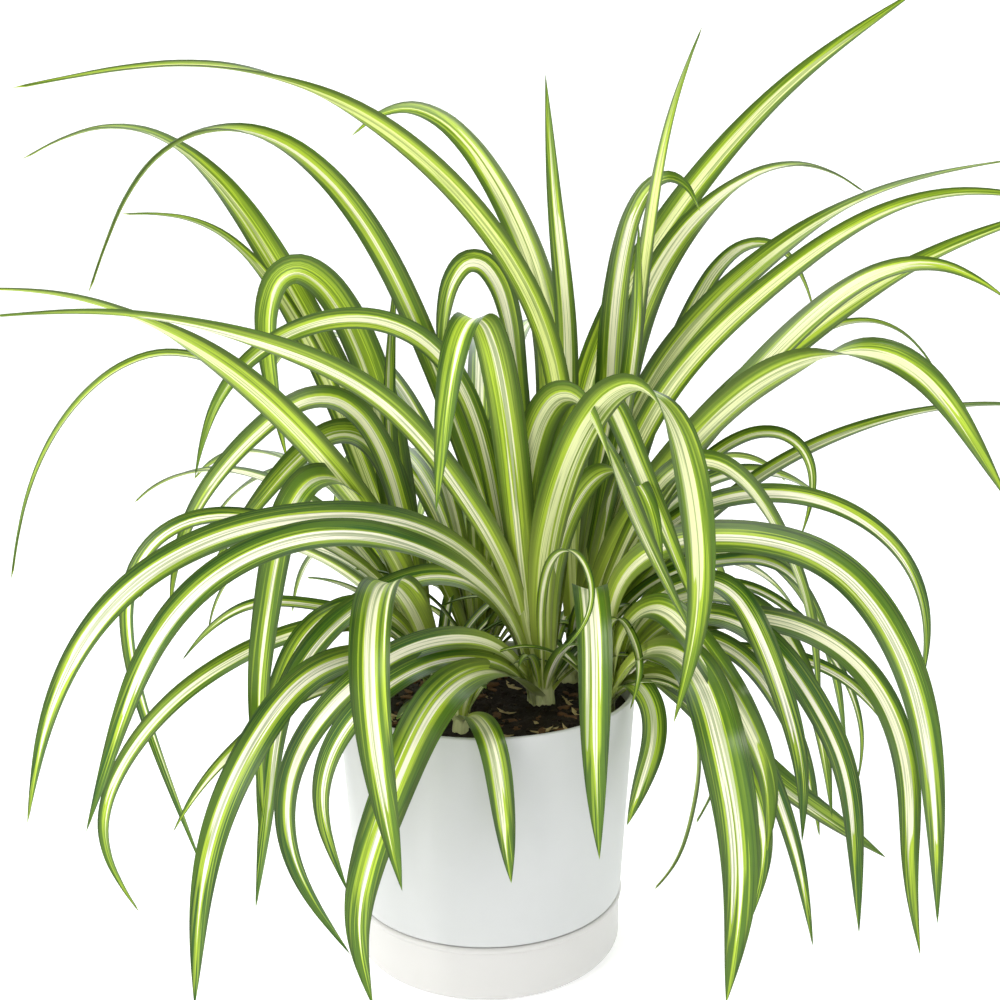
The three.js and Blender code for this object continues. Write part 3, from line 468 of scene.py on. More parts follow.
def living_leaf():
    """A living leaf, banded along its length: dark green margins, a lime edge and a cream
    stripe with fine green lines. The skin has a waxy bloom that pales it at a glancing angle,
    and the underside is paler and duller."""
    material, add = new_material("leaf_variegated_waxy")
    # Shares of the way across (X) and along (Y) the blade; across runs from -1 to 1 in signed.
    blade = add("UVMap", uv_map="blade")
    shares = add("SeparateXYZ", {0: blade})
    signed = add("Math", {0: shares.outputs["X"], 1: 2.0, 2: -1.0}, operation="MULTIPLY_ADD")
    # Each blade's stripe width (X), youth (Y) and place in the streak noise (Z).
    nature = add("Attribute", attribute_name="nature")
    traits = add("SeparateXYZ", {0: nature.outputs["Vector"]})
    side = add("Attribute", attribute_name="underside")
    # Noise in millimetres, drawn out 125 times along the blade.
    millimetres = add("UVMap", uv_map="blade_mm")
    drawn = add("VectorMath", {0: millimetres, 1: (1.0, 0.008, 0.0)}, operation="MULTIPLY")
    seed = add("CombineXYZ", {2: traits.outputs["Z"]})
    streak_place = add("VectorMath", {0: drawn, 1: seed}, operation="ADD")
    # Bands 2 to 4 mm wide, lines about 1 mm and veins about 0.4 mm apart.
    bands, lines, veins = (
        add("TexNoise", {"Vector": streak_place, "Scale": scale, "Detail": 1})
        for scale in (0.35, 1.1, 2.5))
    # The stripe lies off the middle by a share of the band noise.
    wander = add("Math", {0: bands, 1: 1.3, 2: -0.65}, operation="MULTIPLY_ADD")
    off_middle = add("Math", {0: signed, 1: wander}, operation="ADD")
    across = add("Math", {0: off_middle}, operation="ABSOLUTE")
    margin = add("Math", {0: signed}, operation="ABSOLUTE")
    tapering = add("MapRange", {"Value": shares.outputs["Y"], "From Min": 0.75, "To Max": 0.5})
    narrowed = add("Math", {0: across, 1: tapering}, operation="ADD")
    reach = add("Math", {0: narrowed, 1: traits.outputs["X"]}, operation="SUBTRACT")
    skin = add("Mix", {
        0: traits.outputs["Y"], 6: linear("#2E5A10"), 7: linear("#829F0C")},
        data_type="RGBA").outputs[2]
    # The stripe is whiter on an old leaf and limer on a young one.
    stripe = add("Mix", {
        0: traits.outputs["Y"], 6: linear("#FBF7E2"), 7: linear("#D9E38C")}, data_type="RGBA")
    # Each layer covers the ones before it: what it follows, where it starts, where it is full,
    # its share there and its colour. They are light and dark streaks, the pale underside, the
    # dark margins, the lime band, the stripe, its green lines and veins, the pale foot (partly the
    # leaf's own paler base and partly a painted glow of light shining through the thin leaf), its
    # blanched base and the thin dark edge.
    for value, start, full, share, colour in (
        (lines, 0.47, 0.42, 0.6, linear("#A5BF33")),
        (lines, 0.53, 0.58, 0.5, linear("#2F4C06")),
        (side.outputs["Fac"], 0, 1, 0.45, linear("#B4CA48")),
        (margin, 0.5, 0.86, 0.85, linear("#1D3A03")),
        (reach, 0.24, 0.08, 0.9, linear("#B0C934")),
        (reach, 0.03, 0, 1, stripe.outputs[2]),
        (lines, 0.53, 0.57, 0.55, linear("#587A0E")),
        (veins, 0.55, 0.66, 0.4, linear("#3E5F0C")),
        # Painted glow: the pale lime foot is partly the leaf's own paler base and partly painted
        # light shining through the thin leaf.
        (shares.outputs["Y"], 0.32, 0, 0.6, linear("#C3D25C")),
        (shares.outputs["Y"], 0.03, 0, 0.6, linear("#E9EBBD")),
        (margin, 0.93, 0.99, 0.5, linear("#34460C")),
    ):
        amount = add("MapRange", {
            "Value": value, "From Min": start, "From Max": full, "To Max": share},
            interpolation_type="SMOOTHSTEP")
        skin = add("Mix", {0: amount, 6: skin, 7: colour}, data_type="RGBA").outputs[2]
    ribs = add("Bump", {"Height": lines, "Strength": 0.5, "Distance": 0.0004})
    gloss = add("MapRange", {"Value": side.outputs["Fac"], "To Min": 0.32, "To Max": 0.5})
    shader = add("BsdfPrincipled", {
        "Base Color": skin, "Roughness": gloss, "IOR": 1.42, "Sheen Weight": 0.12,
        "Sheen Roughness": 0.4, "Sheen Tint": linear("#D5E3E6"), "Normal": ribs})
    add("OutputMaterial", {"Surface": shader})
    return material


leaf = living_leaf()

# ---- pot, saucer and soil

ROUND_SIDES = 180


def make_pot():
    """Closed wall profile turned about the axis: foot, shoulder over the saucer's rim, tapered
    wall, rounded rim, then down inside to the floor. Round holes are cut through the floor."""
    neck = FOOT_RADIUS + NECK_FLARE
    floor = FOOT_HEIGHT + POT_FLOOR
    band_top = SHOULDER_HEIGHT + SHOULDER_BAND
    outside = rounded([
        (0, FOOT_HEIGHT), (FOOT_RADIUS, FOOT_HEIGHT), (neck, SHOULDER_HEIGHT),
        (SHOULDER_RADIUS, SHOULDER_HEIGHT), (RIM_RADIUS, POT_TOP),
        (inner_radius(POT_TOP), POT_TOP), (inner_radius(band_top), band_top),
        (neck - POT_WALL, SHOULDER_HEIGHT), (FOOT_RADIUS - POT_WALL, floor), (0, floor),
    ], EDGE_ROUNDING)
    points, faces = turned(outside, ROUND_SIDES)
    plastic = moulded_polypropylene("polypropylene_moulded_satin_cool", "#C6C8C9", "#BDBFC0")
    pot = new_piece("pot_shell", points, faces, plastic)
    turn = np.arange(DRAIN_HOLES) / DRAIN_HOLES * 2 * np.pi
    drill = np.array([(0, 0), (DRAIN_RADIUS, 0), (DRAIN_RADIUS, DRILL_TOP), (0, DRILL_TOP)])
    drill_points, drill_faces = turned(drill, 32)
    centres = np.column_stack([DRAIN_RING * np.cos(turn), DRAIN_RING * np.sin(turn), 0 * turn])
    drills = new_piece("drills", (drill_points + centres[:, None]).reshape(-1, 3),
                       copies(drill_faces, DRAIN_HOLES, len(drill_points)), plastic)
    cut = pot.modifiers.new("cut", "BOOLEAN")
    cut.object = drills
    whole = pot.evaluated_get(bpy.context.evaluated_depsgraph_get())
    pot.data = bpy.data.meshes.new_from_object(whole)
    pot.modifiers.clear()
    bpy.data.objects.remove(drills)
    place(pot, "pot_plastic", "pot")


def make_saucer():
    """Flat floor, quarter-round corner, upright wall and a rolled bead, turned about the axis."""
    inside = SAUCER_RADIUS - SAUCER_WALL
    corner = np.linspace(0, np.pi / 2, 9)
    bead = np.linspace(-np.pi / 2, np.pi / 2, 11)
    outer = [(0, 0)]
    outer += list(zip(SAUCER_RADIUS - SAUCER_CORNER * (1 - np.sin(corner)),
                      SAUCER_CORNER * (1 - np.cos(corner))))
    outer += list(zip(SAUCER_RADIUS - BEAD_INSET + BEAD_RADIUS * np.cos(bead),
                      SAUCER_HEIGHT - BEAD_RADIUS + BEAD_RADIUS * np.sin(bead)))
    outer += [(inside, SAUCER_HEIGHT - LIP), (inside - LIP, SAUCER_FLOOR + FILLET),
              (inside - LIP - FILLET, SAUCER_FLOOR), (0, SAUCER_FLOOR)]
    points, faces = turned(np.array(outer), ROUND_SIDES)
    plastic = moulded_polypropylene("polypropylene_moulded_satin_warm", "#CCCBCA", "#C4C3C2")
    saucer = new_piece("saucer_shell", points, faces, plastic)
    place(saucer, "saucer_plastic", "saucer")


def soil_height(x, y):
    """A low mound, highest on the axis, with two crossed waves of clods that fade outwards."""
    out = np.hypot(x, y) / inner_radius(SOIL_TOP)
    clods = np.sin(x * 0.31 + 1.3) * np.cos(y * 0.27) + 0.6 * np.sin(x * 0.13 - y * 0.41)
    return SOIL_TOP + SOIL_MOUND * (1 - out * out) + SOIL_ROUGHNESS * clods * (1 - out)


def soil_surface(x, y):
    """The mound with finer crumbs: three crossed waves of 2 to 8 mm."""
    fine = (np.sin(0.9 * x + 1.7 * np.sin(0.5 * y)) * np.cos(0.8 * y + 1.1 * np.sin(0.6 * x))
            + 0.6 * np.sin(1.9 * x - 0.7 * y) * np.sin(1.5 * y + 0.4 * x)
            + 0.4 * np.sin(2.9 * y + x) * np.cos(2.6 * x - y))
    return soil_height(x, y) + CRUMB_HEIGHT * fine


def make_soil():
    """The plug that fills the pot: a turned body whose top, made 1 mm too high to tell it from
    the edge, is then moved to the crumbed mound."""
    bottom = FOOT_HEIGHT + POT_FLOOR + GAP
    band_top = SHOULDER_HEIGHT + SHOULDER_BAND
    edge = inner_radius(SOIL_TOP) - GAP
    side = [(0, bottom), (FOOT_RADIUS - POT_WALL - GAP, bottom),
            (FOOT_RADIUS + NECK_FLARE - POT_WALL - GAP, SHOULDER_HEIGHT + GAP),
            (inner_radius(band_top) - GAP, band_top + GAP), (edge, SOIL_TOP)]
    top = [(radius, SOIL_TOP + 1) for radius in np.linspace(edge, 0, 48)[1:]]
    points, faces = turned(np.array(side + top), 160)
    x, y, z = points.T
    points[:, 2] = np.where(z > SOIL_TOP, soil_surface(x, y), z)
    soil = new_piece("potting_mix", points, faces, potting_mix("peat_damp", "#080604", "#33281C"))
    place(soil, "potting_mix", "potting_soil")


def scatter(name, count, sizes, bend, material, seed):
    """Lumps that lie on the soil, 6 mm or more from the wall and 2 mm from the crowns. Each is a
    ball of two rings of six corners and two poles, stretched to its length, width and height,
    with every corner moved at random by up to a quarter. Its ends are lifted by the bend times
    the square of the way out, and it is turned about the upright by a random angle."""
    random = np.random.default_rng(seed)
    turn = np.arange(6) * np.pi / 3
    ring = np.column_stack([np.cos(turn), np.sin(turn), np.full(6, 0.45)]) * [0.85, 0.85, 1]
    base = np.vstack([ring * [1, 1, -1], ring, [[0, 0, -0.8], [0, 0, 0.8]]])
    spots = random.uniform(-70, 70, (12 * count, 2))
    free = np.hypot(*spots.T) < inner_radius(SOIL_TOP) - 6 - sizes[1][0]
    for x, y, radius in CROWNS.values():
        free &= np.hypot(spots[:, 0] - x, spots[:, 1] - y) > radius + 2
    spots = spots[free][:count]
    count = len(spots)
    scale = random.uniform(sizes[0], sizes[1], (count, 3))
    lumps = base * scale[:, None] * random.uniform(0.75, 1.25, (count, len(base), 3))
    lumps[..., 2] += bend * scale[:, None, 0] * (lumps[..., 0] / scale[:, None, 0]) ** 2
    heading = random.uniform(0, 2 * np.pi, (count, 1))
    x = lumps[..., 0] * np.cos(heading) - lumps[..., 1] * np.sin(heading) + spots[:, :1]
    y = lumps[..., 0] * np.sin(heading) + lumps[..., 1] * np.cos(heading) + spots[:, 1:]
    z = lumps[..., 2] + (soil_surface(*spots.T) + 0.3 * scale[:, 2])[:, None]
    faces = copies(stacked(2, 6), count, len(base))
    piece = new_piece(name, np.stack([x, y, z], -1).reshape(-1, 3), faces, material, 35)
    place(piece, "potting_mix", "potting_soil")


make_pot()
make_saucer()
make_soil()
scatter("peat_crumbs", 420, [(0.8, 0.7, 0.5), (2.4, 1.8, 1.4)], 0,
        potting_mix("peat_crumbled", "#0B0805", "#3A2D1F"), 5)
scatter("bark_chips", 60, [(2.5, 1.5, 0.6), (6, 3, 1.4)], 0.05,
        potting_mix("pine_bark_chipped", "#3B2413", "#7C5A38"), 6)
scatter("leaf_litter", 26, [(4, 1, 0.25), (9, 2, 0.4)], 0.3,
        potting_mix("leaf_scraps_dried", "#8A7448", "#D6C594"), 7)

# ---- where the blades run


def number_stream(seed):
    """Even random numbers: each state is 16807 times the last, modulo 2^31 - 1."""
    state = seed
    while True:
        state = state * 16807 % 2147483647
        yield state / 2147483647


def to_sight(points):
    """Slides (x, y, z) along its line of sight to the upright plane through the pot's axis.
    Gives (x, depth, z), the depth being the point's own y."""
    scale = 1 - points[..., 1:2] / EYE[1]
    slid = EYE + (points - EYE) / scale
    slid[..., 1] = points[..., 1]
    return slid


def from_sight(points):
    """The other way: (x, depth, z) on the plane back to the point in space."""
    scale = 1 - points[..., 1:2] / EYE[1]
    placed = EYE + (points - EYE) * scale
    placed[..., 1] = points[..., 1]
    return placed


def crown_base(name):
    """How high a crown's underside lies: the stub's depth under the mound's surface."""
    x, y, _ = CROWNS[name]
    return soil_height(x, y) - STUB_DEPTH


def root_of(name, heading):
    """Where a blade leaves its crown: 0.6 of the crown's radius out along its heading."""
    x, y, radius = CROWNS[name]
    height = crown_base(name) + STUB_DEPTH + ROOT_RISE
    return np.array([x + 0.6 * radius * heading[0], y + 0.6 * radius * heading[1], height])


def spline_through(points, count):
    """A centripetal Catmull-Rom curve through the points, cut into equal lengths. Each span is
    a cubic whose end slopes weigh the neighbouring chords by the square roots of their
    lengths. The even spacing is read off 200 chords."""
    padded = np.vstack([2 * points[0] - points[1], points, 2 * points[-1] - points[-2]])
    steps = np.sqrt(np.linalg.norm(np.diff(padded, axis=0), axis=1))

    def curve_at(at):
        """The curve at these numbers of points along it, with parts of a span as fractions."""
        span = np.minimum(at.astype(int), len(points) - 2)
        share = (at - span)[:, None]
        p0, p1, p2, p3 = (padded[span + k] for k in range(4))
        d0, d1, d2 = (steps[span + k][:, None] for k in range(3))
        slope_in = ((p1 - p0) / d0 - (p2 - p0) / (d0 + d1) + (p2 - p1) / d1) * d1
        slope_out = ((p2 - p1) / d1 - (p3 - p1) / (d1 + d2) + (p3 - p2) / d2) * d1
        return (p1 + slope_in * share + (3 * (p2 - p1) - 2 * slope_in - slope_out) * share ** 2
                + (2 * (p1 - p2) + slope_in + slope_out) * share ** 3)

    curve = curve_at(np.linspace(0, len(points) - 1, 201))
    lengths = np.concatenate([[0], np.cumsum(np.linalg.norm(np.diff(curve, axis=0), axis=1))])
    wanted = np.linspace(0, lengths[-1], count + 1)
    return curve_at(np.interp(wanted, lengths, np.linspace(0, 1, 201)) * (len(points) - 1))


def traced_blade(name, row):
    """A blade through the points of its row, evened twice by quarter, half, quarter."""
    width, facing, tip_facing, *places = row
    points = np.array([(x, depth, z) for x, z, depth in places], float)
    out = from_sight(points).mean(axis=0)[:2] - CROWNS[name][:2]
    heading = out / np.linalg.norm(out)
    root = to_sight(root_of(name, heading))
    path = spline_through(np.vstack([root, points]), PATH_STEPS)
    for _ in range(2):
        path[1:-1] = 0.25 * path[:-2] + 0.5 * path[1:-1] + 0.25 * path[2:]
    return name, width, facing, tip_facing, heading, path


def bent_path(root, heading, length, first_slope, last_slope, bend):
    """A path that starts steeply and bends over: its slope falls from the first to the last
    angle with a power of the way along, slowly near the foot and faster further out."""
    share = (np.arange(PATH_STEPS) + 0.5) / PATH_STEPS
    slope = first_slope + (last_slope - first_slope) * share ** bend
    steps = length / PATH_STEPS * np.stack([
        np.cos(slope) * heading[0], np.cos(slope) * heading[1], np.sin(slope)], -1)
    return np.vstack([root, root + np.cumsum(steps, axis=0)])


def sprung_blade(name, turn, length, steepest, random):
    """A blade on a bent path. It starts up to 16 degrees below the steepest angle and ends 35
    to 80 degrees downwards. Its bend, width in mm and facing are drawn at random too."""
    heading = np.array([np.cos(turn), np.sin(turn)])
    first_slope = np.radians(steepest - 16 * next(random))
    last_slope = np.radians(-35 - 45 * next(random))
    bend = 0.9 + 0.5 * next(random)
    width = 10 + 6 * next(random)
    path = bent_path(root_of(name, heading), heading, length, first_slope, last_slope, bend)
    facing = 2 * (next(random) - 0.5)
    return name, width, facing, facing, heading, to_sight(path)


def young_leaves():
    """Short inner leaves, 45 to 95 mm long and 5 to 8 mm wide, spaced round each crown by the
    golden angle. They lean out and arch over the soil."""
    random = np.random.default_rng(SEED + 1)
    leaves = []
    for name, (_, _, radius) in CROWNS.items():
        for i in range(YOUNG_LEAVES if radius > 6 else YOUNG_LEAVES_OF_OFFSET):
            turn = i * GOLDEN_ANGLE + random.uniform(0, 0.6)
            heading = np.array([np.cos(turn), np.sin(turn)])
            first_slope = np.radians(random.uniform(50, 82))
            last_slope = np.radians(random.uniform(-35, 20))
            path = bent_path(root_of(name, heading), heading, random.uniform(45, 95),
                             first_slope, last_slope, 1.1)
            leaves.append((name, random.uniform(5, 8), 0, 0, heading, path))
    return leaves


def all_blades():
    """The long blades: first the traced ones, then those by rule, spaced by the golden section
    between their first and last headings."""
    blades = [traced_blade(name, row) for name, rows in TRACED.items() for row in rows]
    random = number_stream(SEED)
    for name, count, first, last, shortest, longest, steepest in SPRUNG:
        for i in range(count):
            turn = np.radians(first + (last - first) * ((i * GOLDEN_SHARE + 0.5) % 1))
            length = shortest + (longest - shortest) * next(random)
            blades.append(sprung_blade(name, turn, length, steepest, random))
    return blades


def eased(value, start, end):
    """0 before start, 1 after end, and 3t^2 - 2t^3 between."""
    t = np.clip((value - start) / (end - start), 0, 1)
    return t * t * (3 - 2 * t)


def width_share(share):
    """Width along a blade as a share of its widest: waisted at the foot, a long point."""
    waist = FOOT_WIDTH + (1 - FOOT_WIDTH) * eased(share, 0, WIDEST_AT)
    return waist * (1 - share ** POINT_POWER)


def push_apart(names, widths, paths):
    """Moves blades that pass closely in sight apart in depth. Each round takes the largest
    missing clearance before and behind every sample, moves it half of their difference,
    smooths the moves along the blade and keeps them small near the foot."""
    count, samples, _ = paths.shape
    half = 0.5 * widths[:, None] * width_share(np.linspace(0, 1, samples))
    flat = paths.reshape(-1, 3)
    blade = np.repeat(np.arange(count), samples)
    sample = np.tile(np.arange(samples), count)
    one, other = np.triu_indices(len(flat), 1)
    reach = half.ravel()[one] + half.ravel()[other]
    apart = np.hypot(flat[one, 0] - flat[other, 0], flat[one, 2] - flat[other, 2])
    crown = np.unique(names, return_inverse=True)[1]
    same = crown[blade[one]] == crown[blade[other]]
    start = np.where(same, FREE_FROM + 2, 2)
    close = ((blade[one] != blade[other]) & (sample[one] >= start) & (sample[other] >= start)
             & (apart < reach + REACH_MARGIN))
    one, other, clear = one[close], other[close], CLEAR_SHARE * reach[close] + CLEAR_MARGIN
    ease = np.minimum(1, np.arange(samples) / ROOT_EASE) ** 2
    for _ in range(PUSH_ROUNDS):
        depth = paths[..., 1].ravel()
        difference = depth[one] - depth[other]
        missing = clear - np.abs(difference)
        short = missing > 0
        rear = np.where(difference > 0, one, other)[short]
        near = np.where(difference > 0, other, one)[short]
        back, fore = np.zeros((2, len(depth)))
        np.maximum.at(back, rear, missing[short])
        np.maximum.at(fore, near, missing[short])
        move = (0.5 * PUSH_SHARE * (back - fore)).reshape(count, samples)
        solid = from_sight(paths)
        room = POT_CLEARANCE ** 2 - solid[..., 0] ** 2
        over_pot = ((np.arange(samples) >= PATH_STEPS / 3) & (solid[..., 2] < POT_TOP + 4)
                    & (room > solid[..., 1] ** 2))
        out = np.sign(solid[..., 1]) * np.sqrt(np.maximum(room, 0)) - solid[..., 1]
        move = np.where(over_pot, out, move)
        for _ in range(SMOOTH_PASSES):
            padded = np.pad(move, ((0, 0), (1, 1)), mode="edge")
            move = 0.25 * padded[:, :-2] + 0.5 * move + 0.25 * padded[:, 2:]
        paths[..., 1] += move * ease
    return from_sight(paths)


def finer(paths, stations):
    """Cubic curves through the samples of every path, read at evenly spaced stations. Each
    cubic's end slopes are half the chord between the neighbours."""
    last = paths.shape[1] - 1
    padded = np.concatenate([2 * paths[:, :1] - paths[:, 1:2], paths,
                             2 * paths[:, -1:] - paths[:, -2:-1]], axis=1)
    at = np.linspace(0, last, stations)
    span = np.minimum(at.astype(int), last - 1)
    t = (at - span)[None, :, None]
    p0, p1, p2, p3 = (padded[:, span + k] for k in range(4))
    return 0.5 * (2 * p1 + (p2 - p0) * t + (2 * p0 - 5 * p1 + 4 * p2 - p3) * t ** 2
                  + (3 * p1 - p0 - 3 * p2 + p3) * t ** 3)


def unit(vectors):
    """Vectors divided by their lengths."""
    return vectors / np.maximum(np.linalg.norm(vectors, axis=-1, keepdims=True), 1e-9)


def dot(one, other):
    """Products of the components, added up over the last axis."""
    return (one * other).sum(axis=-1, keepdims=True)


def frames_along(paths, headings, facings, tip_facings):
    """For every station the upper direction and the direction across the blade. The frame
    turns as little as it can, by two mirrorings a step, and its upper side starts towards the
    crown's middle. The blade's facing, times the part of the direction to the eye that lies
    square to the path, is then added to the upper direction."""
    ends = np.concatenate([paths[:, :1], paths, paths[:, -1:]], axis=1)
    tangents = unit(ends[:, 2:] - ends[:, :-2])
    start = -np.column_stack([headings, np.zeros(len(headings))])
    upper = unit(start - dot(start, tangents[:, 0]) * tangents[:, 0])
    uppers = [upper]
    for i in range(1, paths.shape[1]):
        chord = paths[:, i] - paths[:, i - 1]
        scale = 2 / dot(chord, chord)
        mirrored_upper = upper - scale * dot(chord, upper) * chord
        mirrored_tangent = tangents[:, i - 1] - scale * dot(chord, tangents[:, i - 1]) * chord
        turn = tangents[:, i] - mirrored_tangent
        upper = mirrored_upper - 2 * dot(turn, mirrored_upper) / np.maximum(
            dot(turn, turn), 1e-12) * turn
        upper = unit(upper)
        uppers.append(upper)
    uppers = np.stack(uppers, axis=1)
    twist = eased(SHARES, TWIST_FROM, TWIST_TO)
    facing = facings[:, None] + (tip_facings - facings)[:, None] * twist
    sight = unit(EYE - paths)
    sight = sight - dot(sight, tangents) * tangents
    faced = unit(uppers + facing[..., None] * sight)
    return faced, np.cross(faced, tangents)


# ---- the blades' surfaces

# Stations along a blade and along its foot, columns across it, the leaf's thickness, and the
# gutter's depth as a share of the half width, along the blade and where it clasps the crown.
STATIONS = 73
FOOT_STATIONS = 6
COLUMNS = 13
LEAF_THICKNESS = 0.5
GUTTER_SHARE = 0.34
CLASP_SHARE = 0.75
SHARES = np.concatenate([np.zeros(FOOT_STATIONS), np.linspace(0, 1, STATIONS)])


def rooted(names, paths):
    """Carries every path back down into its crown: a quadratic curve from a point near the
    crown's axis, under the soil, to the path's start, along the path's first direction."""
    crowns = np.array([(*CROWNS[name][:2], crown_base(name)) for name in names])
    start = paths[:, 0]
    base = crowns.copy()
    base[:, :2] += 0.5 * (start - crowns)[:, :2]
    control = start - STUB_DEPTH * unit(paths[:, 1] - start)
    share = np.linspace(0, 1, FOOT_STATIONS, endpoint=False)[None, :, None]
    feet = ((1 - share) ** 2 * base[:, None] + 2 * share * (1 - share) * control[:, None]
            + share ** 2 * start[:, None])
    return np.concatenate([feet, paths], axis=1)


def blade_rings(halves, paths, uppers, acrosses):
    """A gutter carried along each path. At a share a across, from -1 to 1, the upper skin lies
    at the gutter's depth times |a|^1.25 - 1/2 above the path. The depth is a share of the half
    width, larger where the foot clasps the crown. The lower skin lies the leaf's thickness
    below the upper one, thinning to nothing at the margins."""
    columns = np.linspace(-1, 1, COLUMNS)
    skin = np.concatenate([columns, columns[-2:0:-1]])
    below = np.concatenate([np.zeros(COLUMNS), np.ones(COLUMNS - 2)])
    clasp = GUTTER_SHARE + (CLASP_SHARE - GUTTER_SHARE) * (1 - eased(SHARES, 0, 0.15))
    depth = np.maximum(clasp * halves, 0.5)[..., None]
    height = depth * (np.abs(skin) ** 1.25 - 0.5)
    height = height - below * LEAF_THICKNESS * (1 - skin ** 4)
    rings = (paths[:, :, None, :] + acrosses[:, :, None, :] * (skin * halves[..., None])[..., None]
             + uppers[:, :, None, :] * height[..., None])
    return skin, rings


def crown_stem(name):
    """The short core that the leaf bases wrap: a turned cone with a rounded shoulder, from
    below the soil to 14 mm above it."""
    x, y, radius = CROWNS[name]
    low = crown_base(name)
    profile = np.array([(0, low), (0.7 * radius, low), (0.72 * radius, low + STUB_DEPTH),
                        (0.6 * radius, low + STUB_DEPTH + 6), (0.3 * radius, low + STUB_DEPTH + 12),
                        (0, low + STUB_DEPTH + 14)])
    points, faces = turned(profile, 24)
    return points + np.array([x, y, 0]), faces


def leaves_of(name, chosen, widths, paths, uppers, acrosses, natures):
    """The long blades and young leaves of one crown, and the stem that they wrap, as one mesh.
    Each ring of a blade joins the next with quads, and fans close its foot and its tip. The
    shares and millimetres across and along go to two UV maps."""
    halves = 0.5 * widths[chosen, None] * width_share(SHARES)
    skin, rings = blade_rings(halves, paths[chosen], uppers[chosen], acrosses[chosen])
    count, stations, ring = rings.shape[:3]
    body = rings[:, :-1].reshape(count, -1, 3)
    feet = paths[chosen][:, :1]
    tips = paths[chosen][:, -1:]
    points = np.concatenate([body, feet, tips], axis=1)
    per_blade = points.shape[1]
    # A blade's rings run the other way round, so its faces are turned over.
    blade_faces = [np.roll(rows[:, ::-1], 1, axis=1) for rows in stacked(stations - 1, ring)]
    stem, stem_faces = crown_stem(name)
    faces = copies(blade_faces, count, per_blade)
    faces += [rows + count * per_blade for rows in stem_faces]
    facing_down = np.arange(ring) >= COLUMNS - 1
    lower = np.broadcast_to(facing_down, (count, stations - 2, ring)).ravel()
    fan_side = np.tile(facing_down, count)
    stem_side = np.zeros(sum(len(rows) for rows in stem_faces))
    underside = np.concatenate([lower, fan_side, fan_side, stem_side]).astype(np.float32)
    run = np.concatenate([np.zeros((count, 1)), np.cumsum(
        np.linalg.norm(np.diff(paths[chosen], axis=1), axis=-1), axis=1)], axis=1)
    u = np.broadcast_to(skin, (count, stations - 1, ring))
    v = np.broadcast_to(SHARES[:-1, None], u.shape)
    u_mm = u * halves[:, :-1, None]
    v_mm = np.broadcast_to(run[:, :-1, None], u.shape)
    ends_uv = np.broadcast_to([[0.5, 0], [0.5, 1]], (count, 2, 2))
    ends_mm = np.stack([np.zeros((count, 2)), run[:, [0, -1]]], -1)
    uv = np.concatenate([np.stack([0.5 + 0.5 * u, v], -1).reshape(count, -1, 2), ends_uv], 1)
    uv_mm = np.concatenate([np.stack([u_mm, v_mm], -1).reshape(count, -1, 2), ends_mm], 1)
    nature = np.repeat(natures[chosen], per_blade, axis=0)
    points = np.concatenate([points.reshape(-1, 3), stem])
    uv = np.concatenate([uv.reshape(-1, 2), np.tile([0.5, 0.0], (len(stem), 1))])
    uv_mm = np.concatenate([uv_mm.reshape(-1, 2), stem[:, [0, 2]]])
    nature = np.concatenate([nature, np.tile([0.4, 0.5, 0.0], (len(stem), 1))])
    piece = new_piece(f"leaves_{name}", points, faces, leaf, 70)
    mesh = piece.data
    vertex = np.empty(len(mesh.loops), np.int32)
    mesh.loops.foreach_get("vertex_index", vertex)
    for layer_name, values in (("blade", uv), ("blade_mm", uv_mm)):
        layer = mesh.uv_layers.new(name=layer_name)
        layer.uv.foreach_set("vector", values[vertex].astype(np.float32).ravel())
    traits = mesh.attributes.new("nature", "FLOAT_VECTOR", "POINT")
    traits.data.foreach_set("vector", nature.astype(np.float32).ravel())
    sides = mesh.attributes.new("underside", "FLOAT", "FACE")
    sides.data.foreach_set("value", underside)
    place(piece, "leaf", f"rosette_{name}")


def make_leaves():
    """The leaves of every crown. The long blades are moved apart first; the young leaves keep
    their paths."""
    grown = all_blades()
    names, widths, facings, tip_facings, headings, paths = map(
        np.array, zip(*grown, *young_leaves()))
    count = len(grown)
    paths[:count] = push_apart(names[:count], widths[:count], paths[:count])
    paths = rooted(names, finer(paths, STATIONS))
    uppers, acrosses = frames_along(paths, headings, facings, tip_facings)
    random = np.random.default_rng(SEED)
    # The higher a blade lies on average, the younger it counts.
    youth = np.clip((paths[..., 2].mean(axis=1) - 130) / 220, 0, 1)
    natures = np.column_stack([random.uniform(0.16, 0.36, len(names)),
                               np.clip(youth + random.uniform(-0.35, 0.35, len(names)), 0, 1),
                               random.uniform(0, 500, len(names))])
    for name in CROWNS:
        leaves_of(name, names == name, widths, paths, uppers, acrosses, natures)


make_leaves()

# ---- floor and light

# The floor's flat and bend radius, the thickness of its wall and the wall's top, in mm.
FLOOR_FLAT = 1600
FLOOR_BEND = 900
FLOOR_WALL = 20
FLOOR_TOP = 1500


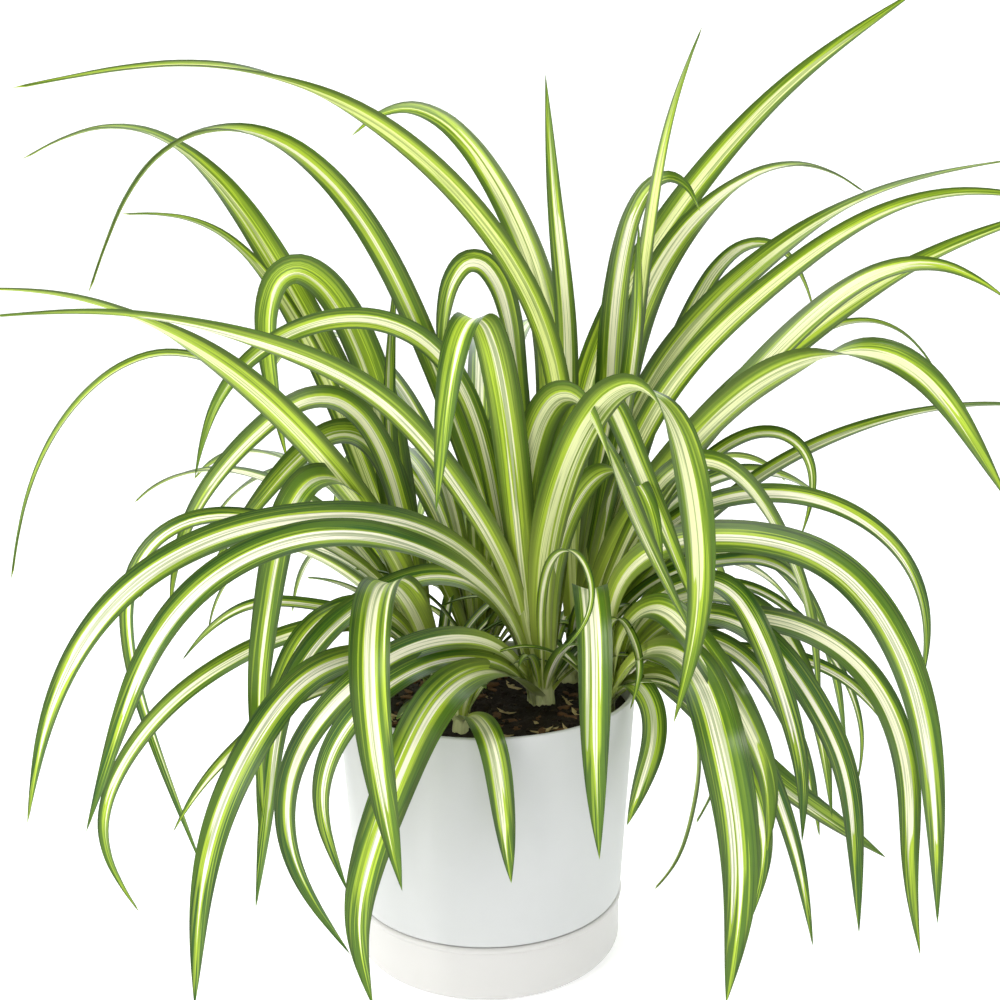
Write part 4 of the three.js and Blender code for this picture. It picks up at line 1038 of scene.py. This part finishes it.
def make_floor():
    """A white floor that sweeps up into a low wall all round: flat, then a quarter circle, then
    upright, turned about the axis."""
    bend = np.linspace(0, np.pi / 2, 16)[1:]
    edge = FLOOR_FLAT + FLOOR_BEND
    sweep = np.column_stack([FLOOR_FLAT + FLOOR_BEND * np.sin(bend),
                             FLOOR_BEND * (1 - np.cos(bend))])
    profile = np.vstack([[0.0, 0.0], [200.0, 0.0], [FLOOR_FLAT, 0.0], sweep, [edge, FLOOR_TOP],
                         [edge + FLOOR_WALL, FLOOR_TOP], [edge + FLOOR_WALL, -FLOOR_WALL],
                         [0.0, -FLOOR_WALL]])
    points, faces = turned(profile[::-1], 96)
    material, add = new_material("backdrop_paper_matt_white")
    coords = add("TexCoord")
    fibres = add("TexNoise", {"Vector": coords.outputs["Object"], "Scale": 3, "Detail": 3})
    tone = add("Mix", {0: fibres, 6: linear("#FAFAFA"), 7: linear("#F4F5F5")}, data_type="RGBA")
    shader = add("BsdfPrincipled", {
        "Base Color": tone.outputs[2], "Roughness": 0.9, "Emission Color": linear("#FFFFFF"),
        "Emission Strength": 0.34})
    add("OutputMaterial", {"Surface": shader})
    floor = new_piece("floor", points, faces, material)


def add_light(name, place_mm, aim_mm, size, power, colour):
    """A square soft light of this size in metres, turned towards its aim."""
    data = bpy.data.lights.new(name, "AREA")
    data.size = size
    data.energy = power
    data.color = linear(colour)[:3]
    light = bpy.data.objects.new(name, data)
    light.location = Vector(place_mm) * MM
    light.rotation_euler = (Vector(place_mm) - Vector(aim_mm)).to_track_quat("Z", "Y").to_euler()
    bpy.context.scene.collection.objects.link(light)


make_floor()
add_light("window_left", (-1100, -900, 1100), (0, 0, 200), 1.0, 22, "#FFFCF5")
add_light("window_right", (1300, -500, 900), (0, 0, 200), 1.2, 3, "#FFFFFF")
add_light("skylight_behind", (0, 900, 1300), (0, 0, 250), 1.5, 12, "#F2F7FF")

world = bpy.data.worlds.new("studio")
world.use_nodes = True
background = world.node_tree.nodes["Background"]
background.inputs["Color"].default_value = linear("#FDFEFF")
background.inputs["Strength"].default_value = 0.46
bpy.context.scene.world = world
bpy.context.scene.view_settings.view_transform = "Standard"
